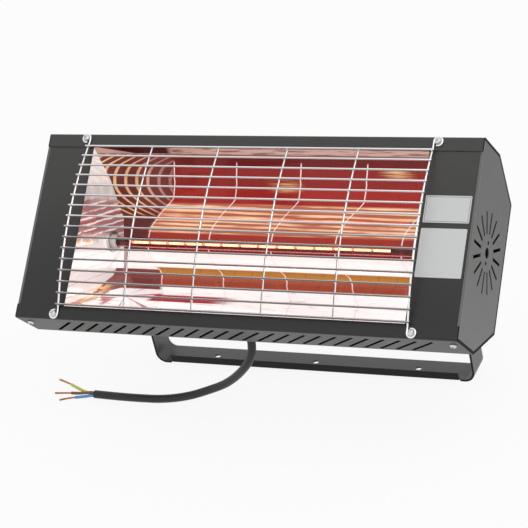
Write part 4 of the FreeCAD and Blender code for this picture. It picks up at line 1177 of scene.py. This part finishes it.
class HEATER_OT_lamp(bpy.types.Operator):
    """Ruby quartz lamp with its wound coils, supports and caps"""

    bl_idname = "heater.lamp"
    bl_label = "Lamp"

    def execute(self, context):
        dress(["lamp_tube", "lamp_supports", "left_lamp_cap", "right_lamp_cap"])
        sizes = context.scene.heater_sizes
        low, high = heater_box("lamp_filament")
        centre = (low + high) / 2
        coils = self.coil_ends()
        bm = bmesh.new()
        for start, end in coils:
            self.add_coil(bm, start, end, centre, sizes)
        bm.transform(LEANED)
        add_piece("lamp_coils", bm, "filament_wire", replaced=["lamp_filament"])
        bm = bmesh.new()
        starts, ends = zip(*coils)
        for start, end in zip((low.x, *ends), (*starts, high.x)):
            wire(bm, Vector((start, centre.y, centre.z)), Vector((end, centre.y, centre.z)), sizes.lead,
                 LEAD_SIDES)
        bm.transform(LEANED)
        add_piece("lamp_lead_wires", bm, "support_wire")
        self.add_eyelets(centre)
        return {"FINISHED"}

    def coil_ends(self):
        """Ends of the coils, between the supports that hold them."""
        low, high = heater_box("lamp_supports")
        first = low.x + SUPPORT_THICKNESS / 2
        pitch = (high.x - low.x - SUPPORT_THICKNESS) / COIL_COUNT
        return [(first + k * pitch + COIL_GAP, first + (k + 1) * pitch - COIL_GAP) for k in range(COIL_COUNT)]

    def add_coil(self, bm, start, end, centre, sizes):
        radius = (sizes.coil - sizes.coil_wire) / 2
        run = end - start - sizes.coil_wire
        steps = round(run / sizes.coil_pitch) * COIL_STEPS
        points = []
        for k in range(steps + 1):
            angle = FULL_TURN * k / COIL_STEPS
            points.append(Vector((start + sizes.coil_wire / 2 + run * k / steps,
                                  centre.y + radius * math.cos(angle), centre.z + radius * math.sin(angle))))
        sweep(bm, points, sizes.coil_wire / 2, COIL_SIDES)

    def add_eyelets(self, centre):
        """Bright rolled ring round each cap, where it comes through the cheek."""
        bm = bmesh.new()
        for node, inward in (("left_reflector_cheek", 1.0), ("right_reflector_cheek", -1.0)):
            middle, axis = self.cheek_hole(node, inward, centre)
            seat = Matrix.Translation(middle) @ turned(Vector((inward, 0.0, 0.0)), axis)
            bead = Matrix.Translation((0.0, EYELET_RADIUS, 0.0)) @ Matrix.Rotation(math.pi / 2, 4, "Z")
            profile = bmesh.ops.create_circle(bm, cap_ends=False, segments=BEAD_SIDES, radius=EYELET_BEAD,
                                              matrix=seat @ bead)["verts"]
            bmesh.ops.spin(bm, geom=profile + edges_of(profile), cent=middle, axis=axis, angle=FULL_TURN,
                           steps=EYELET_STEPS, use_merge=True)
        bmesh.ops.recalc_face_normals(bm, faces=bm.faces)
        bm.transform(LEANED)
        add_piece("lamp_eyelets", bm, "zinc_steel")

    def cheek_hole(self, node, inward, centre):
        """Where the lamp's axis meets a cheek's inner face, and the way that face looks."""
        inner = [face for face in heater_faces(node) if face[0].x * inward > 0.7]
        normal, middle, _ = max(inner, key=lambda face: face[2])
        x = middle.x - ((centre.y - middle.y) * normal.y + (centre.z - middle.z) * normal.z) / normal.x
        return Vector((x, centre.y, centre.z)), normal


class HEATER_OT_plates(bpy.types.Operator):
    """Two bare rating plates on the right front panel"""

    bl_idname = "heater.plates"
    bl_label = "Rating plates"

    def execute(self, context):
        sizes = context.scene.heater_sizes
        finish = plate_finish(context.scene.heater_colours)
        panel = heater_box("right_front_panel")[0].y
        for name, ((left, right), (low, high)) in PLATE_PLACES.items():
            middle = Matrix.Translation(((left + right) / 2, panel - sizes.plate / 2, (low + high) / 2))
            bm = bmesh.new()
            bmesh.ops.create_cube(bm, size=1.0, matrix=middle @ Matrix.Diagonal(
                (right - left, sizes.plate, high - low, 1.0)))
            if name == LINED_PLATE:
                self.add_line(bm)
            upright = [edge for edge in bm.edges
                       if abs(edge.verts[0].co.y - edge.verts[1].co.y) > sizes.plate / 2]
            bmesh.ops.bevel(bm, geom=upright, offset=sizes.plate_corner, segments=5, profile=0.5,
                            affect="EDGES", material=-1)
            bm.transform(LEANED)
            plate = add_piece(name + "_rating_plate", bm, "zinc_steel", finish=finish)
            plate.data.materials.append(finish_of("black_plastic"))
        return {"FINISHED"}

    def add_line(self, bm):
        """Thin dark line a little inside the plate's edge."""
        bm.normal_update()
        front = [face for face in bm.faces if face.normal.y < -0.9]
        for thickness, material in ((LINE_INSET, 0), (LINE_WIDTH, 1)):
            for face in bmesh.ops.inset_region(bm, faces=front, thickness=thickness)["faces"]:
                face.material_index = material


class HEATER_OT_screws(bpy.types.Operator):
    """Pan-head screws of the housing, guard and reflector, with their cross recesses"""

    bl_idname = "heater.screws"
    bl_label = "Screws"

    def execute(self, context):
        for node in ("guard_screws", "end_plate_screws", "reflector_bracket_screws"):
            self.recess(node)
        return {"FINISHED"}

    def recess(self, node):
        """Cuts a cross into each head of a node's merged copy."""
        bm = merged_copy(node)
        bits = bmesh.new()
        for low, high in self.screws(bm):
            self.add_bit(bits, low, high)
        bits.transform(LEANED)
        bmesh.ops.recalc_face_normals(bits, faces=bits.faces)
        piece = add_piece(node + "_recessed", bm, "zinc_steel", replaced=[node])
        cutter = add_object("cross_bits", mesh_from("cross_bits", bits))
        cut = piece.modifiers.new("recess", "BOOLEAN")
        cut.operation = "DIFFERENCE"
        cut.solver = "EXACT"
        cut.object = cutter
        whole = bpy.data.meshes.new_from_object(piece.evaluated_get(bpy.context.evaluated_depsgraph_get()))
        piece.modifiers.clear()
        piece.data = whole
        bpy.data.objects.remove(cutter)

    def screws(self, bm):
        """Lowest and highest corner of each screw in the heater's own frame."""
        found = []
        rest = set(bm.verts)
        while rest:
            screw, border = set(), {rest.pop()}
            while border:
                screw |= border
                border = {edge.other_vert(vertex) for vertex in border for edge in vertex.link_edges} - screw
            rest -= screw
            found.append(corners([UPRIGHT @ vertex.co for vertex in screw]))
        return found

    def add_bit(self, bits, low, high):
        """Plus-shaped bit at the end of a screw that lies further from the middle of the heater."""
        centre, size = (low + high) / 2, high - low
        axis = max(range(3), key=lambda k: size[k])
        outward = Vector((0.0, 0.0, 0.0))
        outward[axis] = math.copysign(1.0, (centre - HEATER_MIDDLE)[axis])
        tip = centre + outward * size[axis] / 2
        made = bmesh.ops.create_cube(bits, size=1.0)["verts"]
        bmesh.ops.scale(bits, vec=(RECESS_ARM, RECESS_ARM, 2 * RECESS_DEPTH), verts=made)
        bits.normal_update()
        faces = {face for vertex in made for face in vertex.link_faces}
        sides = [face for face in faces if abs(face.normal.z) < 0.5]
        for face in bmesh.ops.extrude_discrete_faces(bits, faces=sides)["faces"]:
            bmesh.ops.translate(bits, vec=face.normal * (RECESS_SPAN - RECESS_ARM) / 2, verts=face.verts)
            made += face.verts
        bmesh.ops.transform(bits, matrix=Matrix.Translation(tip) @ turned(UP, outward), verts=list(set(made)))


class HEATER_OT_inside(bpy.types.Operator):
    """Fasteners, pivot, cord entry and wiring in their finishes"""

    bl_idname = "heater.inside"
    bl_label = "Fasteners and wiring"

    def execute(self, context):
        dressed = ("black_enamel", "mirror_sheet", "filament_wire", "quartz_glass", "support_wire")
        dress(node for node in SLOT_OF if SLOT_OF[node] not in dressed)
        return {"FINISHED"}


# Panel and registration

OPERATORS = [HEATER_OT_stage, HEATER_OT_supply_cord, HEATER_OT_cores, HEATER_OT_housing, HEATER_OT_reflector,
             HEATER_OT_guard, HEATER_OT_lamp, HEATER_OT_plates, HEATER_OT_screws, HEATER_OT_inside]
SETTINGS = {"heater_sizes": HeaterSizes, "heater_colours": HeaterColours, "heater_stage": HeaterStage}


class HEATER_PT_panel(bpy.types.Panel):
    """The heater's pieces and settings"""

    bl_idname = "HEATER_PT_panel"
    bl_label = "Infrared heater"
    bl_space_type = "VIEW_3D"
    bl_region_type = "UI"
    bl_category = "Heater"

    def draw(self, context):
        for operator in OPERATORS:
            self.layout.operator(operator.bl_idname)
        for name in SETTINGS:
            group = getattr(context.scene, name)
            for key in group.bl_rna.properties.keys():
                if key not in ("rna_type", "name"):
                    self.layout.prop(group, key)


def register():
    for group in (*SETTINGS.values(), *OPERATORS, HEATER_PT_panel):
        bpy.utils.register_class(group)
    for name, group in SETTINGS.items():
        setattr(bpy.types.Scene, name, bpy.props.PointerProperty(type=group))


def unregister():
    for name in SETTINGS:
        delattr(bpy.types.Scene, name)
    for group in reversed((*SETTINGS.values(), *OPERATORS, HEATER_PT_panel)):
        bpy.utils.unregister_class(group)


def main():
    register()
    for operator in OPERATORS:
        family, name = operator.bl_idname.split(".")
        getattr(getattr(bpy.ops, family), name)()
    bpy.context.view_layer.update()


if __name__ == "__main__":
    main()
